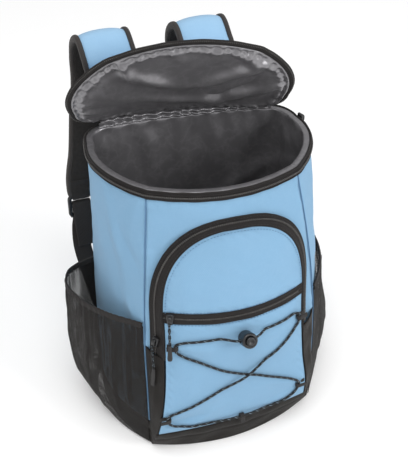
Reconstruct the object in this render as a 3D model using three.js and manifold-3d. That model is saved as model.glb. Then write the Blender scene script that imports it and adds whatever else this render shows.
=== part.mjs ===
// Cooler backpack standing upright with its lid open, in millimetres.
// +Z is up, the wearer's back is towards +Y and the pockets face -Y.
import * as THREE from "three";
import { mergeVertices } from "three/addons/utils/BufferGeometryUtils.js";
import Module from "manifold-3d";

const wasm = await Module();
wasm.setup();

// Body
const bodyHeight = 357;
const backHalf = 138;
const backCorner = 26;
const seamHalf = 109;
const bodyDepth = 168;
const frontBow = 30;
const sideBulge = 20;
const backLean = 4;
const backBow = 12;
const backTurn = 6.7;
const leanReach = 110;
const foamWall = 6;
const foamFloor = 6;
const liningWall = 1.4;
const bootWall = 2.2;
const bootHeight = 42;
const restPoint = 90;
const dentPush = 4;
const dentReach = 34;

// Fits between pieces
const fit = 0.4;
const lay = 0.8;
const seamGap = 1.2;
const clothWall = 2;

// Front pocket and its zips
const pocketShift = 7;
const gussetTop = 160;
const archMiddle = 215;
const archTop = 318;
const archPower = 2.4;
const archTape = 10;
const zipWall = 2.5;
const coilProud = 1.2;
const midZipHeight = 216.5;
const midZipTape = 11;
const rimTape = 9;
const gussetBevel = 6.8;

// Lid
const lidLean = 24.6;
const lidTurn = 9.96;
const lidBow = 12;
const lidWall = 4.2;
const lidTape = 7.5;
const hingeRise = 5;
const lidOverhang = 3.5;
const lidTip = 0.16;
const lidTapeWall = 2.2;
const hingeHalf = 106;
const hingeTaper = 0.97;
const hingePlace = { across: -8.3, back: 2.5 };

// Side pockets
const pocketHeight = 195;
const pocketHem = 8;
const meshWall = 1.2;
const hemWall = 2.4;
const pocketFoot = 4;
const pocketReach = 0.975;
const leftBulge = 39;
const rightBulge = 19;

// Shoulder straps
const strapWidth = 65;
const strapPad = 4;
const strapCrown = 2.5;
const strapInner = 3;
const bindingWidth = 6;
const bindingWall = 4.6;
const strapLoop = 88;
const webWidth = 23;
const webWall = 1.4;
const webTail = 62;
const lockWidth = 34;
const lockHeight = 36;
const lockWall = 5;
const lockBar = 6;
const lockSide = 4.5;

// Lacing
const cordRadius = 1.5;
const cordClear = 1;
const tabLift = 1.5;
const tabWall = 1.2;
const tabWidth = 6;
const tabLength = 8;
const barrelRadius = 9.5;
const barrelLength = 20;
const barrelTilt = 25;
const barrelHeight = 190;
const barrelLift = 10.5;
const crossRadius = 2.8;
const boreDepth = 6;
const buttonRadius = 5.4;
const buttonProud = 3;
const buttonTravel = 2.5;

// Zip sliders and pulls
const sliderWidth = 9;
const sliderLength = 13;
const sliderWall = 4;
const pullWidth = 7;
const pullLength = 27;
const pullWall = 2.4;
const linkRadius = 1.1;
const pullLift = 6.5;
const pullPlace = { across: -84, height: 178 };
const midSliderAcross = -81;

// Body sections from the base to the rim, as shares of the named sizes, and the front's turn of the back's
const bodyRows = [
  { up: 0.0, half: 0.965, seam: 1.0, depth: 1.0, bow: 0.75, bulge: 0.9, turn: -0.35 },
  { up: 0.12, half: 0.965, seam: 1.0, depth: 1.0, bow: 0.8, bulge: 0.9, turn: -0.25 },
  { up: 0.45, half: 0.95, seam: 0.985, depth: 0.958, bow: 1.0, bulge: 0.8, turn: 0.13 },
  { up: 0.6, half: 0.935, seam: 0.955, depth: 0.92, bow: 0.98, bulge: 0.78, turn: 0.25 },
  { up: 0.75, half: 0.922, seam: 0.905, depth: 0.87, bow: 0.93, bulge: 0.82, turn: 0.39 },
  { up: 1.0, half: 0.913, seam: 0.798, depth: 0.75, bow: 0.78, bulge: 0.875, turn: 0.69 },
];

// Front pocket sections: half width, depth at the edge and at the middle, and side shift
const pocketRows = [
  { up: 0.0, half: 0.972, edge: 1.012, middle: 0.992, shift: 0.4 },
  { up: 0.118, half: 0.915, edge: 1.149, middle: 1.02, shift: 1.1 },
  { up: 0.224, half: 0.875, edge: 1.19, middle: 1.03, shift: 1.0 },
  { up: 0.342, half: 0.825, edge: 1.16, middle: 1.038, shift: 0.9 },
  { up: 0.45, half: 0.805, edge: 1.125, middle: 1.038, shift: 0.8 },
  { up: 0.56, half: 0.795, edge: 1.077, middle: 1.025, shift: 0.6 },
  { up: 0.7, half: 0.795, edge: 1.0, middle: 0.965, shift: 0.2 },
  { up: 0.8, half: 0.795, edge: 0.935, middle: 0.905, shift: -0.2 },
  { up: 0.9, half: 0.795, edge: 0.875, middle: 0.835, shift: -0.5 },
  { up: 1.0, half: 0.795, edge: 0.8, middle: 0.76, shift: -0.6 },
];

// Dents of the body wall: place as shares of half width, depth and height, size as shares of a dent's
const bodyDents = [
  { side: -1, depth: 0.62, up: 0.66, push: 1.0, reach: 1.0 },
  { side: -1, depth: 0.8, up: 0.5, push: 0.75, reach: 0.76 },
  { side: 1, depth: 0.55, up: 0.72, push: 0.75, reach: 0.88 },
];

// Side pocket bulge along its width from the front seam, and up its height
const bulgeAlong = [
  { at: 0.0, out: 0.0 },
  { at: 0.12, out: 0.16 },
  { at: 0.25, out: 0.38 },
  { at: 0.4, out: 0.62 },
  { at: 0.55, out: 0.84 },
  { at: 0.72, out: 1.0 },
  { at: 0.84, out: 0.88 },
  { at: 0.93, out: 0.5 },
  { at: 1.0, out: 0.0 },
];
const bulgeUp = [
  { at: 0.0, left: 0.12, right: 0.05 },
  { at: 0.08, left: 0.36, right: 0.55 },
  { at: 0.2, left: 0.62, right: 1.0 },
  { at: 0.36, left: 0.9, right: 1.25 },
  { at: 0.55, left: 1.0, right: 1.0 },
  { at: 0.8, left: 1.0, right: 0.7 },
  { at: 1.0, left: 0.97, right: 0.5 },
];

// Strap routes: across as a share of the back half width, back of the strap loop, up of the
// height, wide of the strap's width, and turn of the back wall's turn
const leftStrapRows = [
  { across: -0.46, back: 0.309, up: 0.935, wide: 1.0, turn: 0.33 },
  { across: -0.475, back: 0.318, up: 0.99, wide: 1.0, turn: 0.33 },
  { across: -0.52, back: 0.43, up: 1.07, wide: 1.0, turn: 0.2 },
  { across: -0.565, back: 0.36, up: 1.165, wide: 1.0, turn: 0.0 },
  { across: -0.6, back: 0.36, up: 1.24, wide: 1.0, turn: 0.0 },
  { across: -0.615, back: 0.59, up: 1.286, wide: 1.0, turn: 0.0 },
  { across: -0.622, back: 0.87, up: 1.24, wide: 1.0, turn: 0.0 },
  { across: -0.622, back: 1.0, up: 1.16, wide: 1.0, turn: 0.0 },
  { across: -0.645, back: 0.96, up: 1.06, wide: 0.95, turn: 0.0 },
  { across: -0.735, back: 0.76, up: 0.955, wide: 0.86, turn: 0.0 },
  { across: -0.825, back: 0.58, up: 0.85, wide: 0.72, turn: 0.0 },
  { across: -0.91, back: 0.5, up: 0.765, wide: 0.58, turn: 0.0 },
  { across: -0.93, back: 0.48, up: 0.725, wide: 0.52, turn: 0.0 },
  { across: -0.93, back: 0.48, up: 0.7, wide: 0.5, turn: 0.0 },
];
const rightStrapRows = [
  { across: 0.4, back: 0.168, up: 0.935, wide: 1.0, turn: 1.6 },
  { across: 0.385, back: 0.172, up: 0.99, wide: 1.0, turn: 1.6 },
  { across: 0.34, back: 0.29, up: 1.07, wide: 1.0, turn: 1.0 },
  { across: 0.28, back: 0.22, up: 1.165, wide: 1.0, turn: 0.5 },
  { across: 0.24, back: 0.25, up: 1.24, wide: 1.0, turn: 0.0 },
  { across: 0.23, back: 0.51, up: 1.286, wide: 1.0, turn: 0.0 },
  { across: 0.23, back: 0.8, up: 1.24, wide: 1.0, turn: 0.0 },
  { across: 0.25, back: 0.96, up: 1.16, wide: 1.0, turn: 0.0 },
  { across: 0.31, back: 0.95, up: 1.06, wide: 0.95, turn: 0.0 },
  { across: 0.41, back: 0.76, up: 0.955, wide: 0.86, turn: 0.0 },
  { across: 0.53, back: 0.58, up: 0.85, wide: 0.72, turn: 0.0 },
  { across: 0.65, back: 0.5, up: 0.765, wide: 0.58, turn: 0.0 },
  { across: 0.67, back: 0.48, up: 0.725, wide: 0.52, turn: 0.0 },
  { across: 0.67, back: 0.48, up: 0.7, wide: 0.5, turn: 0.0 },
];

// Webbing from the ladder lock to the base, as shares of the same sizes
const webRows = [
  { across: 0.02, back: 0.525, up: 0.54 },
  { across: 0.03, back: 0.45, up: 0.47 },
  { across: -0.01, back: 0.32, up: 0.36 },
  { across: -0.09, back: 0.15, up: 0.2 },
  { across: -0.16, back: 0.038, up: 0.11 },
  { across: -0.185, back: 0.0205, up: 0.05 },
];

// Elastic cord route over the lower pocket panel: across, up and lift off the panel
const cordRoute = [
  [2.5, 190, 10.5],
  [12, 190, 9.8],
  [28, 190, 1],
  [52, 190, 0],
  [65, 191, 1],
  [73, 187, 1.5],
  [73, 178, 1.5],
  [66, 170, 1],
  [47, 155, 0],
  [24, 139, 2],
  [2, 124, 4.4],
  [-24, 110, 2],
  [-54, 96, 0],
  [-83, 84, 1],
  [-95, 79, 1.5],
  [-95, 70, 1.5],
  [-88, 61, 1],
  [-76, 55, 0],
  [-44, 50, 0],
  [-12, 48.5, 1.5],
  [0, 48.5, 1.5],
  [12, 48.5, 1.5],
  [40, 50, 0],
  [60, 54, 0],
  [71, 63, 1],
  [75, 72, 1.5],
  [75, 81, 1.5],
  [67, 89, 1],
  [46, 101, 0],
  [24, 113, 0],
  [2, 124, 0],
  [-24, 138, 0],
  [-52, 156, 0],
  [-72, 168, 1],
  [-79, 175, 1.5],
  [-79, 184, 1.5],
  [-72, 187.5, 1],
  [-52, 188.5, 0],
  [-28, 189.5, 1],
  [-12, 190, 9.8],
  [-2.5, 190, 10.5],
];

// Tabs that hold the cord: each is folded round it where its route turns
const cordTabs = [
  { name: "left_upper", across: -79, height: 179.5, turn: 0 },
  { name: "left_lower", across: -95, height: 74.5, turn: 0 },
  { name: "right_upper", across: 73, height: 182.5, turn: 180 },
  { name: "right_lower", across: 75, height: 76.5, turn: 180 },
  { name: "bottom", across: 0, height: 48.5, turn: 90 },
];

const blue = { color: 0x9bc4e6, roughness: 0.85, metalness: 0 };
const black = { color: 0x2d2826, roughness: 0.8, metalness: 0 };
const grey = { color: 0x6e6c70, roughness: 0.4, metalness: 0.5 };
const mesh = { color: 0x1f1d1d, roughness: 0.9, metalness: 0 };
const binding = { color: 0x464141, roughness: 0.8, metalness: 0 };
const plastic = { color: 0x171717, roughness: 0.35, metalness: 0 };

const pack = new THREE.Group();
pack.position.set(0, restPoint, 0);

const mix = (a, b, t) => a + (b - a) * t;
const radians = THREE.MathUtils.degToRad;
const vector = (x, y, z) => new THREE.Vector3(x, y, z);

// The value of a table's column between its rows.
function lookup(rows, key, column, at) {
  const last = rows[rows.length - 1];
  if (at >= last[key]) {
    return last[column];
  }
  const next = Math.max(1, rows.findIndex((row) => row[key] > at));
  const low = rows[next - 1];
  const share = (at - low[key]) / (rows[next][key] - low[key]);
  return mix(low[column], rows[next][column], Math.max(0, share));
}

// A closed solid from corners and four- or three-cornered faces, turned so that it faces outwards.
function closedSolid(corners, faces) {
  const triangles = faces.flatMap((face) =>
    face.length === 4 ? [face[0], face[1], face[2], face[0], face[2], face[3]] : face,
  );
  let volume = 0;
  for (let i = 0; i < triangles.length; i += 3) {
    const [a, b, c] = triangles.slice(i, i + 3).map((index) => corners[index]);
    volume += a.dot(b.clone().cross(c));
  }
  const geometry = new THREE.BufferGeometry();
  geometry.setFromPoints(corners);
  geometry.setIndex(volume < 0 ? triangles.reverse() : triangles);
  geometry.computeVertexNormals();
  return geometry;
}

// A sheet with two faces: place gives the point at shares across and along, on face 0 or 1.
function sheetSolid(columns, rows, place) {
  const corners = [];
  const faces = [];
  const at = (i, j, side) => (side * (rows + 1) + j) * (columns + 1) + i;
  for (let side = 0; side < 2; side += 1) {
    for (let j = 0; j <= rows; j += 1) {
      for (let i = 0; i <= columns; i += 1) {
        corners.push(place(i / columns, j / rows, side));
      }
    }
  }
  for (let j = 0; j < rows; j += 1) {
    for (let i = 0; i < columns; i += 1) {
      faces.push([at(i, j, 0), at(i + 1, j, 0), at(i + 1, j + 1, 0), at(i, j + 1, 0)]);
      faces.push([at(i, j, 1), at(i, j + 1, 1), at(i + 1, j + 1, 1), at(i + 1, j, 1)]);
    }
    faces.push([at(0, j, 0), at(0, j + 1, 0), at(0, j + 1, 1), at(0, j, 1)]);
    faces.push([at(columns, j, 0), at(columns, j, 1), at(columns, j + 1, 1), at(columns, j + 1, 0)]);
  }
  for (let i = 0; i < columns; i += 1) {
    faces.push([at(i, 0, 0), at(i, 0, 1), at(i + 1, 0, 1), at(i + 1, 0, 0)]);
    faces.push([at(i, rows, 0), at(i + 1, rows, 0), at(i + 1, rows, 1), at(i, rows, 1)]);
  }
  return closedSolid(corners, faces);
}

// A solid skinned over level rings of equal count, with a flat cap on the first and the last.
// Each side is split from its lower near corner to its upper far one, so that nested walls match.
function ringSolid(rings) {
  const count = rings[0].length;
  const corners = rings.flat();
  const faces = [];
  for (let r = 0; r < rings.length - 1; r += 1) {
    const rises = rings[r][0].z <= rings[r + 1][0].z;
    for (let i = 0; i < count; i += 1) {
      const next = (i + 1) % count;
      const here = r * count;
      const there = here + count;
      const face = [here + i, here + next, there + next, there + i];
      faces.push(rises ? face : [...face.slice(1), face[0]]);
    }
  }
  const lastStart = (rings.length - 1) * count;
  const firstPlan = rings[0].map((point) => new THREE.Vector2(point.x, point.y));
  const lastPlan = rings[rings.length - 1].map((point) => new THREE.Vector2(point.x, point.y));
  const clockwise = THREE.ShapeUtils.isClockWise(firstPlan);
  const turned = (cap, flip) => (flip ? [cap[0], cap[2], cap[1]] : cap);
  for (const cap of THREE.ShapeUtils.triangulateShape(firstPlan, [])) {
    faces.push(turned(cap, !clockwise));
  }
  for (const cap of THREE.ShapeUtils.triangulateShape(lastPlan, [])) {
    faces.push(turned(cap, clockwise).map((index) => index + lastStart));
  }
  return closedSolid(corners, faces);
}

function addPiece(name, geometry, look, parent = pack) {
  const piece = new THREE.Mesh(geometry, new THREE.MeshStandardMaterial(look));
  piece.name = name;
  parent.add(piece);
  return piece;
}

function toManifold(geometry) {
  const plain = geometry.clone();
  plain.deleteAttribute("normal");
  plain.deleteAttribute("uv");
  const merged = mergeVertices(plain);
  const vertProperties = new Float32Array(merged.attributes.position.array);
  const triVerts = new Uint32Array(merged.index.array);
  return new wasm.Manifold(new wasm.Mesh({ numProp: 3, vertProperties, triVerts }));
}

function toGeometry(solid) {
  const cut = solid.getMesh();
  const geometry = new THREE.BufferGeometry();
  geometry.setAttribute("position", new THREE.BufferAttribute(cut.vertProperties, 3));
  geometry.setIndex(new THREE.BufferAttribute(cut.triVerts, 1));
  geometry.computeVertexNormals();
  return geometry;
}

// A box of the given size, moved so that its middle is at the given place.
function boxAt(size, place) {
  const box = new THREE.BoxGeometry(size[0], size[1], size[2]);
  box.translate(place[0], place[1], place[2]);
  return box;
}

// The body's section sizes at a height.
function sectionAt(height) {
  const up = height / bodyHeight;
  return {
    up: Math.min(1, Math.max(0, up)),
    half: backHalf * lookup(bodyRows, "up", "half", up),
    seam: seamHalf * lookup(bodyRows, "up", "seam", up),
    depth: bodyDepth * lookup(bodyRows, "up", "depth", up),
    bow: frontBow * lookup(bodyRows, "up", "bow", up),
    bulge: sideBulge * lookup(bodyRows, "up", "bulge", up),
  };
}

// The front pocket's section sizes at a height.
function pocketAt(height) {
  const up = height / bodyHeight;
  return {
    middleX: -pocketShift * lookup(pocketRows, "up", "shift", up),
    half: seamHalf * lookup(pocketRows, "up", "half", up),
    edge: bodyDepth * lookup(pocketRows, "up", "edge", up),
    middle: (bodyDepth + frontBow) * lookup(pocketRows, "up", "middle", up),
  };
}

// A point of the side wall: along runs from the back corner to the front seam.
function sidePoint(cut, along) {
  const half = mix(cut.half, cut.seam, along) + 4 * cut.bulge * along * (1 - along);
  return [half, mix(backCorner, cut.depth, along)];
}

const backSteps = 3;
const cornerSteps = 4;
const sideSteps = 6;
const frontSteps = 5;

// Half of the body's outline from the back's middle to the front seam, as across and depth.
function backOutline(cut) {
  const points = [];
  for (let i = 0; i < backSteps; i += 1) {
    points.push([((cut.half - backCorner) * i) / backSteps, 0]);
  }
  for (let i = 0; i <= cornerSteps; i += 1) {
    const turn = (Math.PI / 2) * (i / cornerSteps);
    const across = cut.half - backCorner * (1 - Math.sin(turn));
    points.push([across, backCorner * (1 - Math.cos(turn))]);
  }
  for (let i = 1; i <= sideSteps; i += 1) {
    points.push(sidePoint(cut, i / sideSteps));
  }
  return points;
}

// The whole outline, from the back's middle round the right side and the left side.
function bodyOutline(cut) {
  const half = backOutline(cut);
  for (let i = 1; i <= frontSteps; i += 1) {
    const across = 1 - i / frontSteps;
    half.push([cut.seam * across, cut.depth + cut.bow * (1 - across * across)]);
  }
  const left = half.slice(1, -1).reverse().map(([across, depth]) => [-across, depth]);
  return [...half, ...left];
}

// The boot's outline, which takes in the front pocket's side walls and face.
function bootOutline(height) {
  const half = backOutline(sectionAt(height));
  const pocket = pocketAt(height);
  const face = [];
  for (let i = 0; i <= 2 * frontSteps; i += 1) {
    const across = 1 - i / frontSteps;
    const depth = mix(pocket.edge, pocket.middle, 1 - across * across);
    face.push([pocket.middleX + pocket.half * across, depth]);
  }
  const left = half.slice(1).reverse().map(([across, depth]) => [-across, depth]);
  return [...half, ...face, ...left];
}

// How far the back wall has leaned, bowed and turned at a place of the outline.
function settle(across, depth, height) {
  const up = Math.min(1, height / bodyHeight);
  const nearBack = Math.max(0, 1 - depth / leanReach);
  const bow = backBow * (1 - (across / backHalf) ** 2);
  const backTurned = across * Math.tan(radians(backTurn)) * up * up;
  return nearBack * up * (backLean + bow) - mix(turned(across, height), backTurned, nearBack);
}

// How far the turn of the front brings a place of it forwards.
function turned(across, height) {
  return across * Math.tan(radians(backTurn * lookup(bodyRows, "up", "turn", height / bodyHeight)));
}

// How far the dents push the wall in at a point of the outline.
function dentAt(across, depth, height) {
  const half = sectionAt(height).half;
  let push = 0;
  for (const dent of bodyDents) {
    const aside = across - dent.side * half;
    const ahead = depth - dent.depth * bodyDepth;
    const above = height - dent.up * bodyHeight;
    const reach = dentReach * dent.reach;
    const far = (aside * aside + ahead * ahead + above * above) / (reach * reach);
    push += dentPush * dent.push * Math.exp(-far);
  }
  return push;
}

// An outline moved inwards by a wall, settled, and put at a height.
function levelRing(outline, height, inset) {
  const count = outline.length;
  return outline.map(([across, depth], i) => {
    const before = outline[(i + count - 1) % count];
    const after = outline[(i + 1) % count];
    const first = new THREE.Vector2(depth - before[1], before[0] - across).normalize();
    const second = new THREE.Vector2(after[1] - depth, across - after[0]).normalize();
    const normal = first.clone().add(second).normalize();
    const reach = (inset + dentAt(across, depth, height)) / Math.max(0.6, normal.dot(first));
    const x = across - normal.x * reach;
    const y = -(depth - normal.y * reach) + settle(across, depth, height);
    return vector(x, y, height);
  });
}

const bodyRing = (height, inset) => levelRing(bodyOutline(sectionAt(height)), height, inset);
const bootRing = (height, inset) => levelRing(bootOutline(height), height, inset);

const shellFloor = bootWall + fit;
const shellInset = bootWall + fit;
const liningOuter = foamWall + fit;
const liningInner = liningOuter + liningWall;
const ringHeights = [0.12, 0.3, 0.45, 0.6, 0.75].map((up) => up * bodyHeight);
const ledge = bootHeight + fit;

// Blue foam body: up the outside, over the top edge, and down the inside to its floor.
function bodyShell() {
  const above = ringHeights.filter((height) => height > ledge);
  const outside = [bodyRing(shellFloor, shellInset), bodyRing(ledge, shellInset)];
  outside.push(...[ledge, ...above, bodyHeight].map((height) => bodyRing(height, 0)));
  const inside = [bodyHeight, ...above.slice().reverse(), ledge, shellFloor + foamFloor];
  return ringSolid([...outside, ...inside.map((height) => bodyRing(height, foamWall))]);
}

// Grey lining inside the foam, with a lip that lies over the foam's top edge.
function bodyLining() {
  const floor = shellFloor + foamFloor + fit;
  const lip = bodyHeight + fit;
  const above = ringHeights.filter((height) => height > ledge);
  const outside = [floor, ledge, ...above, lip].map((height) => bodyRing(height, liningOuter));
  const top = [[lip, fit], [lip + liningWall, fit], [lip + liningWall, liningInner]];
  const inside = [...above.slice().reverse(), ledge, floor + liningWall];
  return ringSolid([
    ...outside,
    ...top.map(([height, inset]) => bodyRing(height, inset)),
    ...inside.map((height) => bodyRing(height, liningInner)),
  ]);
}

// Black base tray with the foot of the front pocket in it.
function baseBoot() {
  const heights = [0, bootHeight / 2, bootHeight];
  const outside = heights.map((height) => bootRing(height, 0));
  const inside = [bootHeight, bootHeight / 2, bootWall].map((height) => bootRing(height, bootWall));
  return ringSolid([...outside, ...inside]);
}

// The depth of the body's front at a place.
function frontDepth(across, height) {
  const cut = sectionAt(height);
  return cut.depth + cut.bow * (1 - (across / cut.seam) ** 2) + turned(across, height);
}

// The depth of the front pocket's face at a place.
function faceDepth(across, height) {
  const pocket = pocketAt(height);
  const share = (across - pocket.middleX) / pocket.half;
  return mix(pocket.edge, pocket.middle, 1 - share * share) + turned(across, height);
}

// A cloth panel of the pocket's face between two heights, with its half width at each height.
function facePanel(low, high, halfAt, columns, rows, spread) {
  return sheetSolid(columns, rows, (i, j, side) => {
    const height = mix(low, high, spread(j));
    const across = pocketAt(height).middleX + halfAt(height) * (2 * i - 1);
    return vector(across, -faceDepth(across, height) + side * clothWall, height);
  });
}

// The half width of the arch at a height, for an outline grown by the given margin.
function archHalf(height, margin) {
  if (height <= archMiddle) {
    return pocketAt(height).half + margin;
  }
  const rise = (height - archMiddle) / (archTop + margin - archMiddle);
  const share = Math.max(0, 1 - rise ** archPower) ** (1 / archPower);
  return (pocketAt(archMiddle).half + margin) * share;
}

// A point of the arch, from the left leg's foot over the top to the right leg's foot.
function archPoint(along, margin) {
  const legs = 0.12;
  const side = along < 0.5 ? -1 : 1;
  const fromFoot = along < 0.5 ? along : 1 - along;
  if (fromFoot <= legs) {
    const height = mix(gussetTop + fit, archMiddle, fromFoot / legs);
    return [pocketAt(height).middleX + side * archHalf(height, margin), height];
  }
  const turn = ((fromFoot - legs) / (0.5 - legs)) * (Math.PI / 2);
  const height = archMiddle + (archTop + margin - archMiddle) * Math.sin(turn) ** (2 / archPower);
  const half = (pocketAt(archMiddle).half + margin) * Math.max(0, Math.cos(turn)) ** (2 / archPower);
  return [pocketAt(height).middleX + side * half, height];
}

// The zip that follows the arch, leaning from the body's front up to the pocket's face.
function archPlace(across, along, side) {
  const [x, height] = archPoint(along, mix(archTape, 0, across));
  const foot = frontDepth(x, height) + lay;
  const head = faceDepth(x, height) + coilProud - zipWall;
  return vector(x, -Math.max(foot, mix(foot, head, across)) - (1 - side) * zipWall, height);
}

// Black cloth between the front seam and the pocket's face, below the zip's foot.
function gussetPlace(sign, across, along, side) {
  const height = mix(ledge, gussetTop, along);
  const cut = sectionAt(height);
  const pocket = pocketAt(height);
  const seamX = sign * cut.seam;
  const faceX = pocket.middleX + sign * pocket.half;
  const seam = new THREE.Vector2(seamX, cut.depth + turned(seamX, height));
  const face = new THREE.Vector2(faceX, pocket.edge + turned(faceX, height));
  const way = face.clone().sub(seam).normalize();
  const start = seam.clone().addScaledVector(way, seamGap + side * gussetBevel);
  const point = start.lerp(face, across);
  const inward = new THREE.Vector2(-sign * way.y, sign * way.x);
  point.addScaledVector(inward, side * clothWall);
  return vector(point.x, -point.y, height);
}

// Zip round the rim from one back corner over the front to the other.
function rimPlace(along, up, side) {
  const height = bodyHeight + liningWall + fit - rimTape * (1 - up);
  const ring = bodyRing(height, -fit - side * clothWall);
  const first = backSteps + 1;
  const index = first + Math.round(along * (ring.length - 2 * first));
  return ring[index];
}
const rimColumns = bodyRing(bodyHeight, 0).length - 2 * (backSteps + 1);

// The lid's own directions: across along the hinge, rise away from it, and out of its top face.
const lidAcross = vector(Math.cos(radians(lidTurn)), -Math.sin(radians(lidTurn)), 0);
const lidFlat = vector(-Math.sin(radians(lidTurn)), -Math.cos(radians(lidTurn)), 0);
const lidRise = lidFlat
  .clone()
  .multiplyScalar(Math.sin(radians(lidLean)))
  .add(vector(0, 0, Math.cos(radians(lidLean))));
const lidOut = lidRise.clone().cross(lidAcross);
const lidHinge = vector(hingePlace.across, hingePlace.back, bodyHeight);

// The lid's edge is the rim's outline: a row is its half width and its distance from the hinge.
const lidRows = bodyOutline(sectionAt(bodyHeight))
  .slice(backSteps, backSteps + cornerSteps + sideSteps + frontSteps)
  .map(([half, rise]) => ({ half, rise }));
const rimSize = sectionAt(bodyHeight);
const lidDepth = rimSize.depth + rimSize.bow;
lidRows.push({ half: rimSize.seam * lidTip, rise: rimSize.depth + rimSize.bow * (1 - lidTip ** 2) });

function lidPoint(across, rise, out) {
  const bow = lidBow * (1 - (across / backHalf) ** 2) * (1 - (0.6 * rise) / lidDepth);
  return lidHinge
    .clone()
    .addScaledVector(lidAcross, across)
    .addScaledVector(lidRise, rise)
    .addScaledVector(lidOut, bow + out);
}

// A half width and a rise of the lid's edge, moved in by a margin.
const lidHalf = (half, margin) => half * (1 + (lidOverhang - margin) / backHalf);
const lidReach = (rise, margin) => mix(hingeRise, lidDepth - margin, rise / lidDepth);

// A layer of the lid, smaller than its edge by a margin, between two distances out.
function lidLayer(margin, low, high) {
  return sheetSolid(6, lidRows.length - 1, (i, j, side) => {
    const row = lidRows[Math.round(j * (lidRows.length - 1))];
    return lidPoint(lidHalf(row.half, margin) * (2 * i - 1), lidReach(row.rise, margin), side ? high : low);
  });
}

// The zip tape round the lid's edge, from one end of the hinge to the other.
const lidEdge = [
  ...lidRows.map((row) => [row.half, row.rise]),
  ...lidRows.slice().reverse().map((row) => [-row.half, row.rise]),
];
function lidTapePlace(along, across, side) {
  const [half, rise] = lidEdge[Math.round(along * (lidEdge.length - 1))];
  const margin = mix(lidTape, 0, across);
  const out = liningWall + side * lidTapeWall;
  return lidPoint(lidHalf(half, margin), lidReach(rise, margin), out);
}

// The cloth hinge from the top of the back wall to the lid's lower edge.
function hingePlaceAt(along, up, side) {
  const across = hingeHalf * (2 * along - 1);
  const height = bodyHeight + liningWall + 2 * fit;
  const foot = vector(across, -foamWall / 2 + settle(across, 0, height), height);
  const top = lidPoint(across * hingeTaper - hingePlace.across, hingeRise - lay, 0);
  const point = foot.lerp(top, up);
  return point.add(vector(0, side * clothWall, 0));
}

// A side pocket's sheet between two heights, standing off the body by its bulge.
function pocketSheet(sign, low, high, rows, wall) {
  const column = sign < 0 ? "left" : "right";
  const bulge = sign < 0 ? leftBulge : rightBulge;
  return sheetSolid(12, rows, (i, j, side) => {
    const height = mix(low, high, j);
    const cut = sectionAt(height);
    const along = mix(pocketReach, 0, i);
    const [half, depth] = sidePoint(cut, along);
    const [nearHalf, nearDepth] = sidePoint(cut, along - 0.01);
    const way = new THREE.Vector2(half - nearHalf, depth - nearDepth).normalize();
    const swellUp = lookup(bulgeUp, "at", column, height / pocketHeight);
    const out = lay + bulge * lookup(bulgeAlong, "at", "out", i) * swellUp + side * wall;
    const x = half + way.y * out;
    const y = -(depth - way.x * out) + settle(half * sign, depth, height);
    return vector(sign * x, y, height);
  });
}

// A smooth route through a table of places.
function routeThrough(rows) {
  const points = rows.map(({ across, back, up }) =>
    vector(across * backHalf, back * strapLoop, up * bodyHeight),
  );
  return new THREE.CatmullRomCurve3(points, false, "centripetal");
}

// A point beside a route: aside along the strap's width and inward towards the wearer.
function besideRoute(route, along, aside, inward, turn = 0) {
  const way = route.getTangent(along);
  const level = vector(Math.cos(radians(turn)), -Math.sin(radians(turn)), 0);
  const side = level.addScaledVector(way, -way.dot(level)).normalize();
  const normal = way.clone().cross(side);
  return route.getPoint(along).addScaledVector(side, aside).addScaledVector(normal, inward);
}

// The layers of one shoulder strap.
function addStrap(label, rows) {
  const route = routeThrough(rows);
  const last = rows.length - 1;
  const rowAt = (along, column) => {
    const place = Math.min(last - 1e-6, along * last);
    const low = Math.floor(place);
    return mix(rows[low][column], rows[low + 1][column], place - low);
  };
  const halfAt = (along) => (strapWidth / 2) * rowAt(along, "wide");
  const beside = (along, aside, inward) =>
    besideRoute(route, along, aside, inward, backTurn * rowAt(along, "turn"));
  const padHalf = (along) => halfAt(along) - bindingWidth - fit;
  const steps = 2 * last;
  const pad = sheetSolid(4, steps, (i, j, side) => {
    const share = 2 * i - 1;
    const outward = strapPad + strapCrown * (1 - share * share);
    return beside(j, padHalf(j) * share, side ? strapInner : -outward);
  });
  addPiece(`shoulder_strap_${label}`, pad, blue);
  const face = sheetSolid(2, steps, (i, j, side) =>
    beside(j, padHalf(j) * (2 * i - 1), strapInner + lay + side * meshWall),
  );
  addPiece(`strap_mesh_${label}`, face, mesh);
  for (const [name, sign] of [["outer", -1], ["inner", 1]]) {
    const edge = sheetSolid(1, steps, (i, j, side) => {
      const aside = sign * (halfAt(j) - bindingWidth * i);
      return beside(j, aside, side ? bindingWall : -bindingWall);
    });
    addPiece(`strap_binding_${label}_${name}`, edge, binding);
  }
  return route.getPoint(1);
}

// A ladder lock with its top bar just under the strap's end.
function ladderLock(middle) {
  const frame = toManifold(boxAt([lockWidth, lockWall, lockHeight], [0, 0, 0]));
  const slot = lockHeight / 2 - 1.5 * lockBar;
  const size = [lockWidth - 2 * lockSide, 2 * lockWall, slot];
  const upper = toManifold(boxAt(size, [0, 0, (slot + lockBar) / 2]));
  const lower = toManifold(boxAt(size, [0, 0, -(slot + lockBar) / 2]));
  const geometry = toGeometry(frame.subtract(upper).subtract(lower));
  geometry.translate(middle.x, middle.y, middle.z);
  return geometry;
}

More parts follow.
